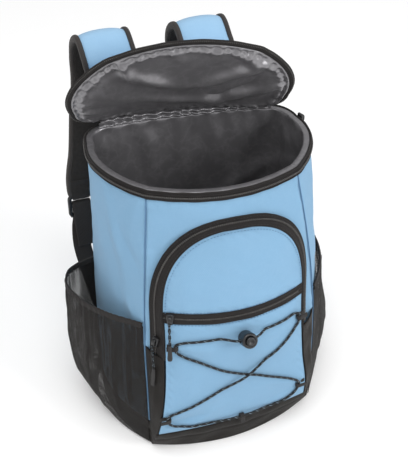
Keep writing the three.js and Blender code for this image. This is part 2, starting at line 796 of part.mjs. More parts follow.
// Webbing that rises behind the lock, turns over its middle bar and hangs down in front.
function webbing(sign, middle) {
  const clear = lockWall / 2 + webWall / 2 + fit;
  const beside = (x, y, z) => middle.clone().add(vector(x, y, z));
  const points = webRows
    .slice()
    .reverse()
    .map(({ across, back, up }) =>
      vector(middle.x + sign * across * backHalf, back * strapLoop, up * bodyHeight),
    );
  points.push(beside(0, clear, -lockHeight / 2));
  for (let i = 0; i <= 4; i += 1) {
    const turn = (Math.PI * i) / 4;
    points.push(beside(0, clear * Math.cos(turn), lockBar / 2 + clear * Math.sin(turn)));
  }
  points.push(beside(0, -clear, -lockHeight / 2));
  points.push(beside(-sign * 2, -clear - 2, -webTail));
  const route = new THREE.CatmullRomCurve3(points, false, "centripetal");
  return sheetSolid(1, 2 * (points.length - 1), (i, j, side) =>
    besideRoute(route, j, webWidth * (i - 0.5), webWall * (side - 0.5)),
  );
}

function addCarrying() {
  for (const [label, sign, rows] of [["left", -1, leftStrapRows], ["right", 1, rightStrapRows]]) {
    const end = addStrap(label, rows);
    const middle = end.clone().add(vector(0, 0, -lockHeight / 2 - 2 * fit));
    addPiece(`ladder_lock_${label}`, ladderLock(middle), plastic);
    addPiece(`webbing_${label}`, webbing(sign, middle), black);
  }
}

function addSidePockets() {
  for (const [label, sign] of [["left", -1], ["right", 1]]) {
    const hem = pocketHeight - pocketHem;
    addPiece(`mesh_pocket_${label}`, pocketSheet(sign, pocketFoot, hem - fit, 7, meshWall), mesh);
    addPiece(`pocket_band_${label}`, pocketSheet(sign, hem, pocketHeight, 1, hemWall), black);
  }
}

// The way out of a surface given by two values, on the side of a rough direction.
function wayOut(surface, u, v, step, outward) {
  const first = surface(u + step[0], v).sub(surface(u - step[0], v));
  const second = surface(u, v + step[1]).sub(surface(u, v - step[1]));
  const out = first.cross(second).normalize();
  return out.dot(outward) < 0 ? out.negate() : out;
}

// A group on such a surface: its +Z points outward and its +Y up the surface.
function placeOn(surface, u, v, step, outward, lift) {
  const out = wayOut(surface, u, v, step, outward);
  const upright = vector(0, 0, 1).addScaledVector(out, -out.z).normalize();
  const aside = upright.clone().cross(out);
  const place = new THREE.Group();
  place.quaternion.setFromRotationMatrix(new THREE.Matrix4().makeBasis(aside, upright, out));
  place.position.copy(surface(u, v)).addScaledVector(out, lift);
  pack.add(place);
  return place;
}

const forward = vector(0, -1, 0);
const facePoint = (across, height) => vector(across, -faceDepth(across, height), height);
const onFace = (across, height, lift) => placeOn(facePoint, across, height, [2, 2], forward, lift);

// A smooth path whose steps follow its points, so that a tight turn gets as many as a long span.
class PointPath extends THREE.CatmullRomCurve3 {
  getPointAt(share, target) {
    return this.getPoint(share, target);
  }

  getTangentAt(share, target) {
    return this.getTangent(share, target);
  }
}

// A tube along a smooth path through points.
function tube(points, radius, sides) {
  const corners = Array.from({ length: sides }, (_, i) => {
    const turn = (2 * Math.PI * i) / sides;
    return new THREE.Vector2(radius * Math.cos(turn), radius * Math.sin(turn));
  });
  const section = new THREE.Shape(corners);
  const extrudePath = new PointPath(points, false, "centripetal");
  const steps = 2 * (points.length - 1);
  return new THREE.ExtrudeGeometry(section, { steps, extrudePath, bevelEnabled: false });
}

// The elastic cord, held by the tabs all the way round.
function elasticCord() {
  const points = cordRoute.map(([across, height, lift]) => {
    const out = wayOut(facePoint, across, height, [2, 2], forward);
    return facePoint(across, height).addScaledVector(out, cordRadius + cordClear + lift);
  });
  return tube(points, cordRadius, 6);
}

// A loop of webbing folded round the cord, with its legs back to the panel's edge.
function cordTab(turn) {
  const inside = cordRadius + cordClear;
  const outside = inside + tabWall;
  const shape = new THREE.Shape();
  shape.moveTo(-tabLength, -outside);
  shape.lineTo(0, -outside);
  shape.absarc(0, 0, outside, -Math.PI / 2, Math.PI / 2, false);
  shape.lineTo(-tabLength, outside);
  shape.lineTo(-tabLength, inside);
  shape.lineTo(0, inside);
  shape.absarc(0, 0, inside, Math.PI / 2, -Math.PI / 2, true);
  shape.lineTo(-tabLength, -inside);
  const options = { depth: tabWidth, bevelEnabled: false, curveSegments: 3 };
  const geometry = new THREE.ExtrudeGeometry(shape, options);
  geometry.translate(0, 0, -tabWidth / 2);
  geometry.rotateX(Math.PI / 2);
  geometry.rotateZ(turn);
  return geometry;
}

function cylinderAlongZ(radius, length, middle, sides) {
  const geometry = new THREE.CylinderGeometry(radius, radius, length, sides);
  geometry.rotateX(Math.PI / 2);
  geometry.translate(0, 0, middle);
  return geometry;
}

// The cord lock: a barrel with a hole across it for the cord and a button in its outer end.
function addCordLock(lift) {
  const place = onFace(0, barrelHeight, lift);
  place.rotateX(-radians(barrelTilt));
  const barrel = toManifold(cylinderAlongZ(barrelRadius, barrelLength, 0, 18));
  const across = new THREE.CylinderGeometry(crossRadius, crossRadius, 3 * barrelRadius, 12);
  across.rotateZ(Math.PI / 2);
  const bore = cylinderAlongZ(buttonRadius + fit, 2 * boreDepth, barrelLength / 2, 14);
  const body = barrel.subtract(toManifold(across)).subtract(toManifold(bore));
  addPiece("cord_lock", toGeometry(body), plastic, place);
  const low = barrelLength / 2 - boreDepth + buttonTravel + fit;
  const high = barrelLength / 2 + buttonProud;
  const button = cylinderAlongZ(buttonRadius, high - low, (low + high) / 2, 14);
  addPiece("cord_lock_button", button, plastic, place);
}

function addLacing() {
  addPiece("elastic_cord", elasticCord(), black);
  for (const { name, across, height, turn } of cordTabs) {
    const place = onFace(across, height, cordRadius + cordClear + tabLift);
    addPiece(`cord_tab_${name}`, cordTab(radians(turn)), black, place);
  }
  addCordLock(cordRadius + cordClear + barrelLift);
}

// A zip slider: a plate with a bridge over it, lying on its tape.
function zipSlider() {
  const plate = toManifold(boxAt([sliderWidth, sliderLength, sliderWall], [0, 0, 0]));
  const bridge = boxAt([sliderWidth / 2, sliderLength * 0.7, sliderWall], [0, 0, sliderWall * 0.75]);
  return toGeometry(plate.add(toManifold(bridge)));
}

// A slider at one place, an end piece at another, and the cord link between them.
function addPull(name, place, endPlace, end, length) {
  addPiece(`${name}_slider`, zipSlider(), plastic, place);
  addPiece(`${name}_pull`, end, plastic, endPlace);
  const inPlace = (group, y, z) => vector(0, y, z).applyQuaternion(group.quaternion).add(group.position);
  const top = inPlace(place, 1 - sliderLength * 0.35, sliderWall * 1.25 + linkRadius + fit);
  const low = inPlace(endPlace, length / 2 + fit, 0);
  addPiece(`${name}_pull_link`, tube([top, low], linkRadius, 6), black);
}

function addPulls() {
  const arch = (across, along) => archPlace(across, along, 0);
  const gusset = (across, along) => gussetPlace(-1, across, along, 0);
  const seat = sliderWall / 2 + fit;
  const archSlider = placeOn(arch, 0.55, 0.045, [0.2, 0.01], forward, seat);
  const archEnd = placeOn(gusset, 0.55, 0.74, [0.2, 0.05], forward, pullWall / 2 + 2);
  const flat = new THREE.BoxGeometry(pullWidth, pullLength, pullWall);
  addPull("arch", archSlider, archEnd, flat, pullLength);
  const barLength = pullLength * 0.75;
  const bar = new THREE.CylinderGeometry(pullWall, pullWall * 1.3, barLength, 10);
  const overTab = cordRadius + cordClear + tabWall + pullWall + pullLift;
  const midEnd = onFace(pullPlace.across, pullPlace.height, overTab);
  addPull("mid", onFace(midSliderAcross, midZipHeight, seat), midEnd, bar, barLength);
  const rim = (along, height) => {
    const [half, depth] = sidePoint(sectionAt(height), along);
    return vector(half, -depth + settle(half, depth, height), height);
  };
  const rimSeat = fit + clothWall + seat + 0.5;
  const rimEnd = placeOn(rim, 0.03, bodyHeight - 3, [0.03, 3], vector(1, 0, 0), rimSeat);
  addPiece("rim_slider", zipSlider(), plastic, rimEnd);
}

addPiece("body_shell", bodyShell(), blue);
addPiece("body_lining", bodyLining(), grey);
addPiece("base_boot", baseBoot(), black);
addPiece("rim_zip", sheetSolid(rimColumns, 1, rimPlace), black);
addPiece("corner_gusset_left", sheetSolid(1, 4, (i, j, side) => gussetPlace(-1, i, j, side)), black);
addPiece("corner_gusset_right", sheetSolid(1, 4, (i, j, side) => gussetPlace(1, i, j, side)), black);

const panelHalf = (height) => archHalf(height, 0) - seamGap - clothWall;
const midLow = midZipHeight - midZipTape / 2;
const midHigh = midZipHeight + midZipTape / 2;
const bowSpread = (share) => Math.sin((share * Math.PI) / 2) ** 0.9;
const upperTop = archTop - seamGap - 1;
addPiece("pocket_panel_lower", facePanel(ledge, midLow - fit, panelHalf, 10, 7, (j) => j), blue);
const zipHalf = (height) => archHalf(height, -seamGap);
addPiece("pocket_panel_upper", facePanel(midHigh + fit, upperTop, zipHalf, 10, 8, bowSpread), blue);
addPiece("mid_zip", facePanel(midLow, midHigh, zipHalf, 10, 1, (j) => j), black);
addPiece("arch_zip", sheetSolid(1, 40, (i, j, side) => archPlace(i, j, side)), black);

addPiece("lid_lining", lidLayer(lidTape + seamGap, 0, liningWall), grey);
addPiece("lid_shell", lidLayer(lidTape + seamGap, liningWall + fit, liningWall + fit + lidWall), blue);
addPiece("lid_zip", sheetSolid(lidEdge.length - 1, 1, lidTapePlace), black);
addPiece("lid_hinge", sheetSolid(12, 1, hingePlaceAt), grey);

addSidePockets();
addCarrying();
addLacing();
addPulls();

export default pack;
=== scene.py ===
# Cooler backpack with its lid open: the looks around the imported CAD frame.
# Shapes are worked out in millimetres with y = 0 at the back wall, then put in as metres.
import math

import bpy
import numpy as np
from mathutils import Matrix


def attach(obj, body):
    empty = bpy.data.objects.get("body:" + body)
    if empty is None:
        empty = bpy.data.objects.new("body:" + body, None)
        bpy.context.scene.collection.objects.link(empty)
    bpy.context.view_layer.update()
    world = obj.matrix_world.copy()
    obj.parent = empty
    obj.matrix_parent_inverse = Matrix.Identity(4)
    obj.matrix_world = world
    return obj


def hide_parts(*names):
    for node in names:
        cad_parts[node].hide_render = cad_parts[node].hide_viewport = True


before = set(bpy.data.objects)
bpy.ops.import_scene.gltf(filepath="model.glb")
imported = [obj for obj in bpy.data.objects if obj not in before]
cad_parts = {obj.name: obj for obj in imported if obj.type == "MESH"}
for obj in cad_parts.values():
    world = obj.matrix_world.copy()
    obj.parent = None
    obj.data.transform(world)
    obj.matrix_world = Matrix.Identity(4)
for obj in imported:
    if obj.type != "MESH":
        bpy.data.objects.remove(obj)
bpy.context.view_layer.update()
scene = bpy.context.scene
restPoint = 90  # the frame's origin lies this far in front of the back wall
pi = math.pi
print("frame loaded")

# Camera, at the photograph's angle
cameraLook = {"place": (-0.3445, -0.9622, 1.0910), "turn": 19.203, "down": 39.5525, "lens": 83.9}
camera = bpy.data.objects.new("camera", bpy.data.cameras.new("camera"))
scene.collection.objects.link(camera)
camera.location = cameraLook["place"]
camera.rotation_euler = (math.radians(90 - cameraLook["down"]), 0, -math.radians(cameraLook["turn"]))
camera.data.lens = cameraLook["lens"]
camera.data.clip_start = 0.05
scene.camera = camera
scene.view_settings.view_transform = "Standard"

# Floor and soft studio light
studio = {
    "floor": (0.95, 0.95, 0.95), "floorGlow": 0.09,
    "world": (1.0, 1.0, 1.0), "worldStrength": 0.62,
    "lamps": [
        {"name": "top_light", "place": (-0.5, -0.9, 2.6), "aim": (0, 0, 0.2), "size": 1.8, "power": 34},
        {"name": "left_light", "place": (-2.4, -1.3, 1.5), "aim": (0, 0, 0.25), "size": 1.6, "power": 5},
        {"name": "right_light", "place": (1.7, -2.0, 1.5), "aim": (0, 0, 0.25), "size": 1.1, "power": 34},
    ],
}


def put(tree, kind, inputs=None, **settings):
    # A node with its settings and inputs, where an input is a value or another node's socket.
    node = tree.nodes.new(kind)
    for key, value in settings.items():
        setattr(node, key, value)
    for key, value in (inputs or {}).items():
        if isinstance(value, bpy.types.NodeSocket):
            tree.links.new(value, node.inputs[key])
        else:
            node.inputs[key].default_value = value
    return node


def buildStudio():
    # The world's plain light, a floor with a little glow of its own, and round lamps turned to their aims.
    world = bpy.data.worlds.new("studio")
    world.use_nodes = True
    background = world.node_tree.nodes["Background"]
    background.inputs["Color"].default_value = (*studio["world"], 1)
    background.inputs["Strength"].default_value = studio["worldStrength"]
    scene.world = world
    floorMesh = bpy.data.meshes.new("floor")
    floorMesh.from_pydata([(-6, -6, 0), (6, -6, 0), (6, 6, 0), (-6, 6, 0)], [], [(0, 1, 2, 3)])
    floor = bpy.data.objects.new("floor", floorMesh)
    scene.collection.objects.link(floor)
    material = bpy.data.materials.new("floor")
    material.use_nodes = True
    shader = material.node_tree.nodes["Principled BSDF"]
    shader.inputs["Base Color"].default_value = (*studio["floor"], 1)
    shader.inputs["Roughness"].default_value = 0.9
    shader.inputs["Emission Color"].default_value = (1, 1, 1, 1)
    shader.inputs["Emission Strength"].default_value = studio["floorGlow"]
    floorMesh.materials.append(material)
    for lamp in studio["lamps"]:
        light = bpy.data.lights.new(lamp["name"], "AREA")
        light.shape = "DISK"
        light.size = lamp["size"]
        light.energy = lamp["power"]
        holder = bpy.data.objects.new(lamp["name"], light)
        scene.collection.objects.link(holder)
        holder.location = lamp["place"]
        aim = np.array(lamp["aim"]) - np.array(lamp["place"])
        down = math.atan2(math.hypot(aim[0], aim[1]), -aim[2])
        holder.rotation_euler = (down, 0, math.atan2(aim[1], aim[0]) - pi / 2)


buildStudio()
print("camera, floor and light")

# Effects that several materials share


def newGroup(name, inputs, outputs):
    # A shader node group with float or vector inputs and float outputs.
    group = bpy.data.node_groups.new(name, "ShaderNodeTree")
    for label, value in inputs.items():
        kind = "NodeSocketVector" if value is None else "NodeSocketFloat"
        socket = group.interface.new_socket(name=label, in_out="INPUT", socket_type=kind)
        if value is not None:
            socket.default_value = value
    for label in outputs:
        group.interface.new_socket(name=label, in_out="OUTPUT", socket_type="NodeSocketFloat")
    given = put(group, "NodeGroupInput").outputs
    taken = put(group, "NodeGroupOutput").inputs
    return group, given, taken


def calc(tree, operation, *values, clamp=False):
    # A Math node's result.
    node = put(tree, "ShaderNodeMath", operation=operation, use_clamp=clamp)
    for i, value in enumerate(values):
        if isinstance(value, bpy.types.NodeSocket):
            tree.links.new(value, node.inputs[i])
        else:
            node.inputs[i].default_value = value
    return node.outputs[0]


def noise(tree, vector, scale, detail=3.0, roughness=0.55):
    # A noise texture's value, which lies about a half.
    inputs = {"Vector": vector, "Scale": scale, "Detail": detail, "Roughness": roughness}
    return put(tree, "ShaderNodeTexNoise", inputs).outputs["Fac"]


def buildWeave():
    # Plain weave: the product of a sine along the warp and one along the weft, with uneven threads.
    group, given, taken = newGroup(
        "weave", {"Cloth": None, "Warp": 900.0, "Weft": 900.0, "Uneven": 0.5}, ["Height", "Shade"]
    )
    split = put(group, "ShaderNodeSeparateXYZ", {"Vector": given["Cloth"]}).outputs
    wander = noise(group, given["Cloth"], 180.0, 2.0)
    push = calc(group, "MULTIPLY", calc(group, "SUBTRACT", wander, 0.5), given["Uneven"])
    warp = calc(group, "ADD", calc(group, "MULTIPLY", split["X"], given["Warp"]), push)
    weft = calc(group, "ADD", calc(group, "MULTIPLY", split["Y"], given["Weft"]), push)
    warpWave = calc(group, "SINE", calc(group, "MULTIPLY", warp, 2 * pi))
    weftWave = calc(group, "SINE", calc(group, "MULTIPLY", weft, 2 * pi))
    cross = calc(group, "MULTIPLY", warpWave, weftWave)
    group.links.new(calc(group, "MULTIPLY_ADD", cross, 0.5, 0.5), taken["Height"])
    stretched = put(group, "ShaderNodeMapping", {"Vector": given["Cloth"], "Scale": (500.0, 90.0, 1.0)})
    across = put(group, "ShaderNodeMapping", {"Vector": given["Cloth"], "Scale": (90.0, 500.0, 1.0)})
    slub = calc(group, "ADD", noise(group, stretched.outputs[0], 1.0), noise(group, across.outputs[0], 1.0))
    group.links.new(calc(group, "MULTIPLY", slub, 0.5), taken["Shade"])
    return group


def buildCrinkle():
    # Crinkled film: ridges where two wandering noises cross their middle, at two sizes.
    group, given, taken = newGroup("crinkle", {"Place": None, "Size": 60.0, "Fine": 0.4}, ["Height"])
    ridges = []
    for factor in (1.0, 2.7):
        size = calc(group, "MULTIPLY", given["Size"], factor)
        value = noise(group, given["Place"], size, 2.0, 0.5)
        away = calc(group, "ABSOLUTE", calc(group, "SUBTRACT", value, 0.5))
        ridges.append(calc(group, "SUBTRACT", 1.0, calc(group, "MULTIPLY", away, 6.0), clamp=True))
    fine = calc(group, "MULTIPLY", ridges[1], given["Fine"])
    group.links.new(calc(group, "ADD", ridges[0], fine), taken["Height"])
    return group


def buildRipple():
    # Soft unevenness of laid cloth: noise stretched along the cloth's own length.
    group, given, taken = newGroup("ripple", {"Cloth": None, "Size": 22.0, "Stretch": 0.4}, ["Height"])
    longer = put(group, "ShaderNodeCombineXYZ", {"X": 1.0, "Y": given["Stretch"], "Z": 1.0})
    scaled = put(
        group, "ShaderNodeVectorMath", {0: given["Cloth"], 1: longer.outputs[0]}, operation="MULTIPLY"
    )
    group.links.new(noise(group, scaled.outputs[0], given["Size"], 2.0, 0.45), taken["Height"])
    return group


def buildDust():
    # Light dust and rubbed places, as a mask from two sizes of noise.
    group, given, taken = newGroup("dust", {"Place": None, "Size": 45.0, "Amount": 0.3}, ["Mask"])
    broad = noise(group, given["Place"], given["Size"], 4.0, 0.6)
    specks = noise(group, given["Place"], calc(group, "MULTIPLY", given["Size"], 9.0), 2.0, 0.7)
    both = calc(group, "MULTIPLY", broad, calc(group, "SMOOTH_MIN", specks, 0.7, 0.2))
    raised = calc(group, "MULTIPLY", calc(group, "SUBTRACT", both, 0.22, clamp=True), 3.0, clamp=True)
    group.links.new(calc(group, "MULTIPLY", raised, given["Amount"]), taken["Mask"])
    return group


weaveGroup, crinkleGroup, rippleGroup, dustGroup = buildWeave(), buildCrinkle(), buildRipple(), buildDust()


def useGroup(tree, group, **inputs):
    # The outputs of a shared group put into a material's tree.
    return put(tree, "ShaderNodeGroup", inputs, node_tree=group).outputs


def mixColour(tree, share, first, second, blend="MIX"):
    # Two colours mixed by a share from 0 to 1.
    node = put(tree, "ShaderNodeMix", data_type="RGBA", blend_type=blend)
    for index, value in ((0, share), (6, first), (7, second)):
        if isinstance(value, bpy.types.NodeSocket):
            tree.links.new(value, node.inputs[index])
        else:
            node.inputs[index].default_value = value if index == 0 else (*value, 1)
    return node.outputs[2]


def bump(tree, height, distance, strength=1.0, after=None):
    # The normal tilted by the slope of a height, whose full rise is a distance in metres.
    inputs = {"Height": height, "Distance": distance, "Strength": strength}
    if after is not None:
        inputs["Normal"] = after
    return put(tree, "ShaderNodeBump", inputs).outputs[0]


def newMaterial(name, **sockets):
    # A material, its tree, its shader, and its cloth and object coordinates.
    material = bpy.data.materials.new(name)
    material.use_nodes = True
    tree = material.node_tree
    shader = tree.nodes["Principled BSDF"]
    for key, value in sockets.items():
        shader.inputs[key.replace("_", " ")].default_value = value
    places = put(tree, "ShaderNodeTexCoord").outputs
    return material, tree, shader, places["UV"], places["Object"]


# Woven cloths: colours of cloth and of its dust, threads to the metre, and how much each effect shows
cloths = {
    "blueCloth": {
        "colour": (0.184, 0.348, 0.522), "shade": (0.230, 0.405, 0.575), "dust": (0.33, 0.48, 0.63),
        "warp": 620, "weft": 620, "weaveDeep": 0.00035, "rippleDeep": 0.0012, "rough": 0.82,
        "sheen": 0.1, "dustAmount": 0.12, "uneven": 0.35,
    },
    # The straps' cloth is the same blue painted lighter: painted light, standing for the light from above on
    # the straps' tops
    "strapClothPaintedLight": {
        "colour": (0.262, 0.445, 0.640), "shade": (0.325, 0.520, 0.710), "dust": (0.42, 0.58, 0.74),
        "warp": 620, "weft": 620, "weaveDeep": 0.00035, "rippleDeep": 0.0012, "rough": 0.82,
        "sheen": 0.1, "dustAmount": 0.12, "uneven": 0.35,
    },
    "blackCloth": {
        "colour": (0.0095, 0.008, 0.007), "shade": (0.018, 0.0155, 0.0135), "dust": (0.05, 0.045, 0.04),
        "warp": 700, "weft": 700, "weaveDeep": 0.0003, "rippleDeep": 0.002, "rough": 0.62,
        "sheen": 0.012, "dustAmount": 0.05, "uneven": 0.3,
    },
    "bandCloth": {
        "colour": (0.014, 0.013, 0.013), "shade": (0.035, 0.032, 0.031), "dust": (0.09, 0.085, 0.08),
        "warp": 260, "weft": 520, "weaveDeep": 0.0005, "rippleDeep": 0.0006, "rough": 0.75,
        "sheen": 0.04, "dustAmount": 0.06, "uneven": 0.2,
    },
    "bindingTape": {
        "colour": (0.030, 0.026, 0.025), "shade": (0.062, 0.056, 0.053), "dust": (0.13, 0.12, 0.11),
        "warp": 900, "weft": 450, "weaveDeep": 0.0005, "rippleDeep": 0.0005, "rough": 0.72,
        "sheen": 0.05, "dustAmount": 0.08, "uneven": 0.2,
    },
    "webbingTape": {
        "colour": (0.012, 0.011, 0.011), "shade": (0.034, 0.031, 0.030), "dust": (0.08, 0.075, 0.07),
        "warp": 330, "weft": 420, "weaveDeep": 0.0007, "rippleDeep": 0.0003, "rough": 0.6,
        "sheen": 0.04, "dustAmount": 0.06, "uneven": 0.15,
    },
    "zipTape": {
        "colour": (0.010, 0.009, 0.009), "shade": (0.026, 0.023, 0.022), "dust": (0.07, 0.065, 0.06),
        "warp": 800, "weft": 500, "weaveDeep": 0.0004, "rippleDeep": 0.0005, "rough": 0.7,
        "sheen": 0.03, "dustAmount": 0.06, "uneven": 0.2,
    },
}


def buildCloth(name, look):
    # A woven cloth: two tones by the threads' uneven yarn and by the weave, whose raised crossings are
    # painted lighter as a painted highlight, dust on top, and bump from weave and ripples.
    material, tree, shader, cloth, place = newMaterial(
        name, Sheen_Weight=look["sheen"], Sheen_Roughness=0.5, Specular_IOR_Level=0.18
    )
    weave = useGroup(
        tree, weaveGroup, Cloth=cloth, Warp=float(look["warp"]), Weft=float(look["weft"]),
        Uneven=look["uneven"]
    )
    ripple = useGroup(tree, rippleGroup, Cloth=place)
    dust = useGroup(tree, dustGroup, Place=place, Amount=look["dustAmount"])
    # Painted highlight: a quarter of the tone follows the weave's height, so the crests of the threads come
    # out lighter
    tone = calc(tree, "ADD", calc(tree, "MULTIPLY", weave["Shade"], 0.75),
                calc(tree, "MULTIPLY", weave["Height"], 0.25))
    colour = mixColour(tree, tone, look["colour"], look["shade"])
    colour = mixColour(tree, dust["Mask"], colour, look["dust"])
    tree.links.new(colour, shader.inputs["Base Color"])
    rough = calc(tree, "MULTIPLY_ADD", weave["Shade"], 0.12, look["rough"] - 0.06)
    tree.links.new(rough, shader.inputs["Roughness"])
    soft = bump(tree, ripple["Height"], look["rippleDeep"], 0.8)
    tree.links.new(bump(tree, weave["Height"], look["weaveDeep"], 0.7, soft), shader.inputs["Normal"])
    return material


materials = {name: buildCloth(name, look) for name, look in cloths.items()}

# Crinkled metallic lining
film = {
    "colour": (0.195, 0.190, 0.200), "worn": (0.30, 0.295, 0.305), "rough": 0.32, "metal": 0.6,
    "size": 16.0, "deep": 0.00022, "fineDeep": 0.00006,
}


def buildFilm():
    # Metallic film: its colour by worn ridges, its gloss by soft ripples, and three sizes of bump.
    material, tree, shader, cloth, place = newMaterial("liningFilm", Specular_IOR_Level=0.5)
    crinkle = useGroup(tree, crinkleGroup, Place=place, Size=film["size"], Fine=0.35)["Height"]
    small = useGroup(tree, crinkleGroup, Place=place, Size=film["size"] * 3.1, Fine=0.5)["Height"]
    ripple = useGroup(tree, rippleGroup, Cloth=place, Size=26.0, Stretch=0.6)["Height"]
    worn = calc(tree, "MULTIPLY", calc(tree, "POWER", small, 3.0), 0.15, clamp=True)
    tree.links.new(mixColour(tree, worn, film["colour"], film["worn"]), shader.inputs["Base Color"])
    tree.links.new(calc(tree, "MULTIPLY_ADD", ripple, 0.16, film["rough"] - 0.08),
                   shader.inputs["Roughness"])
    tree.links.new(calc(tree, "MULTIPLY_ADD", ripple, 0.1, film["metal"] - 0.05), shader.inputs["Metallic"])
    broad = bump(tree, ripple, 0.0022, 0.8)
    ridged = bump(tree, crinkle, film["deep"], 0.55, broad)
    tree.links.new(bump(tree, small, film["fineDeep"], 0.5, ridged), shader.inputs["Normal"])
    return material


materials["liningFilm"] = buildFilm()

# Knitted mesh, whose holes let the light through
knit = {"colour": (0.012, 0.0105, 0.010), "sheenColour": (0.034, 0.031, 0.029), "pitch": 620.0, "open": 0.3}


def buildKnit(name, open_):
    # Mesh: holes on a staggered grid, from the product of two sines, with a thread's bump between.
    material, tree, shader, cloth, place = newMaterial(
        name, Roughness=0.7, Sheen_Weight=0.03, Sheen_Roughness=0.5, Specular_IOR_Level=0.2
    )
    split = put(tree, "ShaderNodeSeparateXYZ", {"Vector": cloth}).outputs
    turned = calc(tree, "MULTIPLY", split["X"], 2 * pi * knit["pitch"])
    raised = calc(tree, "MULTIPLY", split["Y"], 2 * pi * knit["pitch"] * 0.7)
    product = calc(tree, "MULTIPLY", calc(tree, "SINE", turned), calc(tree, "SINE", raised))
    level = calc(tree, "MULTIPLY_ADD", product, 0.5, 0.5)
    wide = calc(tree, "MULTIPLY", calc(tree, "SUBTRACT", level, open_), 9.0, clamp=True)
    tone = noise(tree, place, 300.0)
    tree.links.new(mixColour(tree, tone, knit["colour"], knit["sheenColour"]), shader.inputs["Base Color"])
    if open_ > 0:
        tree.links.new(wide, shader.inputs["Alpha"])
    tree.links.new(bump(tree, level, 0.0006, 0.8), shader.inputs["Normal"])
    return material


materials["knitMesh"] = buildKnit("knitMesh", knit["open"])
materials["spacerMesh"] = buildKnit("spacerMesh", 0.0)

# Braided elastic with light flecks, along the cord's own length and turn
braid = {"dark": (0.010, 0.011, 0.013), "fleck": (0.20, 0.26, 0.30), "turns": 3.0, "pitch": 210.0}


def buildBraid():
    # Two opposed spirals of strands, with light flecks on every second crest of one of them.
    material, tree, shader, cloth, place = newMaterial("braidedElastic", Roughness=0.62, Sheen_Weight=0.05,
                                                       Specular_IOR_Level=0.25)
    split = put(tree, "ShaderNodeSeparateXYZ", {"Vector": cloth}).outputs
    along = calc(tree, "MULTIPLY", split["Y"], braid["pitch"] * 2 * pi)
    around = calc(tree, "MULTIPLY", split["X"], 2 * pi * 95 * braid["turns"])
    left = calc(tree, "SINE", calc(tree, "ADD", along, around))
    right = calc(tree, "SINE", calc(tree, "SUBTRACT", along, around))
    strands = calc(tree, "MULTIPLY_ADD", calc(tree, "MULTIPLY", left, right), 0.5, 0.5)
    fleck = calc(tree, "MULTIPLY", calc(tree, "SUBTRACT", left, 0.62), 4.0, clamp=True)
    patch = calc(tree, "GREATER_THAN", calc(tree, "SINE", calc(tree, "MULTIPLY", along, 0.5)), 0.1)
    share = calc(tree, "MULTIPLY", fleck, patch)
    tree.links.new(mixColour(tree, share, braid["dark"], braid["fleck"]), shader.inputs["Base Color"])
    tree.links.new(bump(tree, strands, 0.0005, 0.9), shader.inputs["Normal"])
    return material


materials["braidedElastic"] = buildBraid()

# Moulded parts
mouldings = {
    "glossPlastic": {"colour": (0.012, 0.012, 0.013), "light": (0.03, 0.03, 0.031), "rough": 0.28,
                     "deep": 0.0002},
    "mattRubber": {"colour": (0.016, 0.015, 0.015), "light": (0.04, 0.038, 0.036), "rough": 0.62,
                   "deep": 0.0003},
    # The coil's colour and its lighter tone are raised so the teeth show as light ticks: partly the nylon's
    # own tone, partly painted highlight
    "coilNylon": {"colour": (0.035, 0.032, 0.030), "light": (0.12, 0.11, 0.10), "rough": 0.30,
                  "deep": 0.0002},
    "threadBlue": {"colour": (0.075, 0.17, 0.30), "light": (0.12, 0.23, 0.38), "rough": 0.6,
                   "deep": 0.0003},
    "threadBlack": {"colour": (0.012, 0.011, 0.011), "light": (0.05, 0.046, 0.043), "rough": 0.6,
                    "deep": 0.0003},
}


def buildMoulding(name, look):
    # Moulded or twisted stuff: a fine grain, two tones by dust, and a little unevenness of gloss. On the zip
    # coil both tones are painted lighter, partly as a painted highlight on its teeth.
    material, tree, shader, cloth, place = newMaterial(name)
    dust = useGroup(tree, dustGroup, Place=place, Size=160.0, Amount=0.6)["Mask"]
    grain = noise(tree, place, 1500.0, 2.0)
    tree.links.new(mixColour(tree, dust, look["colour"], look["light"]), shader.inputs["Base Color"])
    rough = calc(tree, "MULTIPLY_ADD", grain, 0.14, look["rough"] - 0.05)
    tree.links.new(rough, shader.inputs["Roughness"])
    tree.links.new(bump(tree, grain, look["deep"], 0.6), shader.inputs["Normal"])
    return material


for name, look in mouldings.items():
    materials[name] = buildMoulding(name, look)
print("materials")

# Sizes of the body in millimetres, as in the frame
body = {
    "height": 357, "backHalf": 138, "corner": 26, "seamHalf": 109, "depth": 168, "bow": 30, "bulge": 20,
    "lean": 4, "backBow": 12, "turn": 6.7, "leanReach": 110, "foam": 6, "floor": 6, "lining": 1.4,
    "bootWall": 2.2, "bootHeight": 42,
}
bodyRows = {
    "up": (0.0, 0.12, 0.45, 0.6, 0.75, 1.0),
    "half": (0.965, 0.965, 0.95, 0.935, 0.922, 0.913),
    "seam": (1.0, 1.0, 0.985, 0.955, 0.905, 0.798),
    "depth": (1.0, 1.0, 0.958, 0.92, 0.87, 0.75),
    "bow": (0.75, 0.8, 1.0, 0.98, 0.93, 0.78),
    "bulge": (0.9, 0.9, 0.8, 0.78, 0.82, 0.875),
    "turn": (-0.35, -0.25, 0.13, 0.25, 0.39, 0.69),
}
pocket = {
    "shift": 7, "gussetTop": 160, "archMiddle": 215, "archTop": 318, "power": 2.4, "tape": 10,
    "midHeight": 216.5, "midTape": 11, "wall": 2, "zipWall": 2.5, "coilProud": 1.2,
}
pocketRows = {
    "up": (0.0, 0.118, 0.224, 0.342, 0.45, 0.56, 0.7, 0.8, 0.9, 1.0),
    "half": (0.972, 0.915, 0.875, 0.825, 0.805, 0.795, 0.795, 0.795, 0.795, 0.795),
    "edge": (1.012, 1.149, 1.19, 1.16, 1.125, 1.077, 1.0, 0.935, 0.875, 0.8),
    "middle": (0.992, 1.02, 1.03, 1.038, 1.038, 1.025, 0.965, 0.905, 0.835, 0.76),
    "shift": (0.4, 1.1, 1.0, 0.9, 0.8, 0.6, 0.2, -0.2, -0.5, -0.6),
}


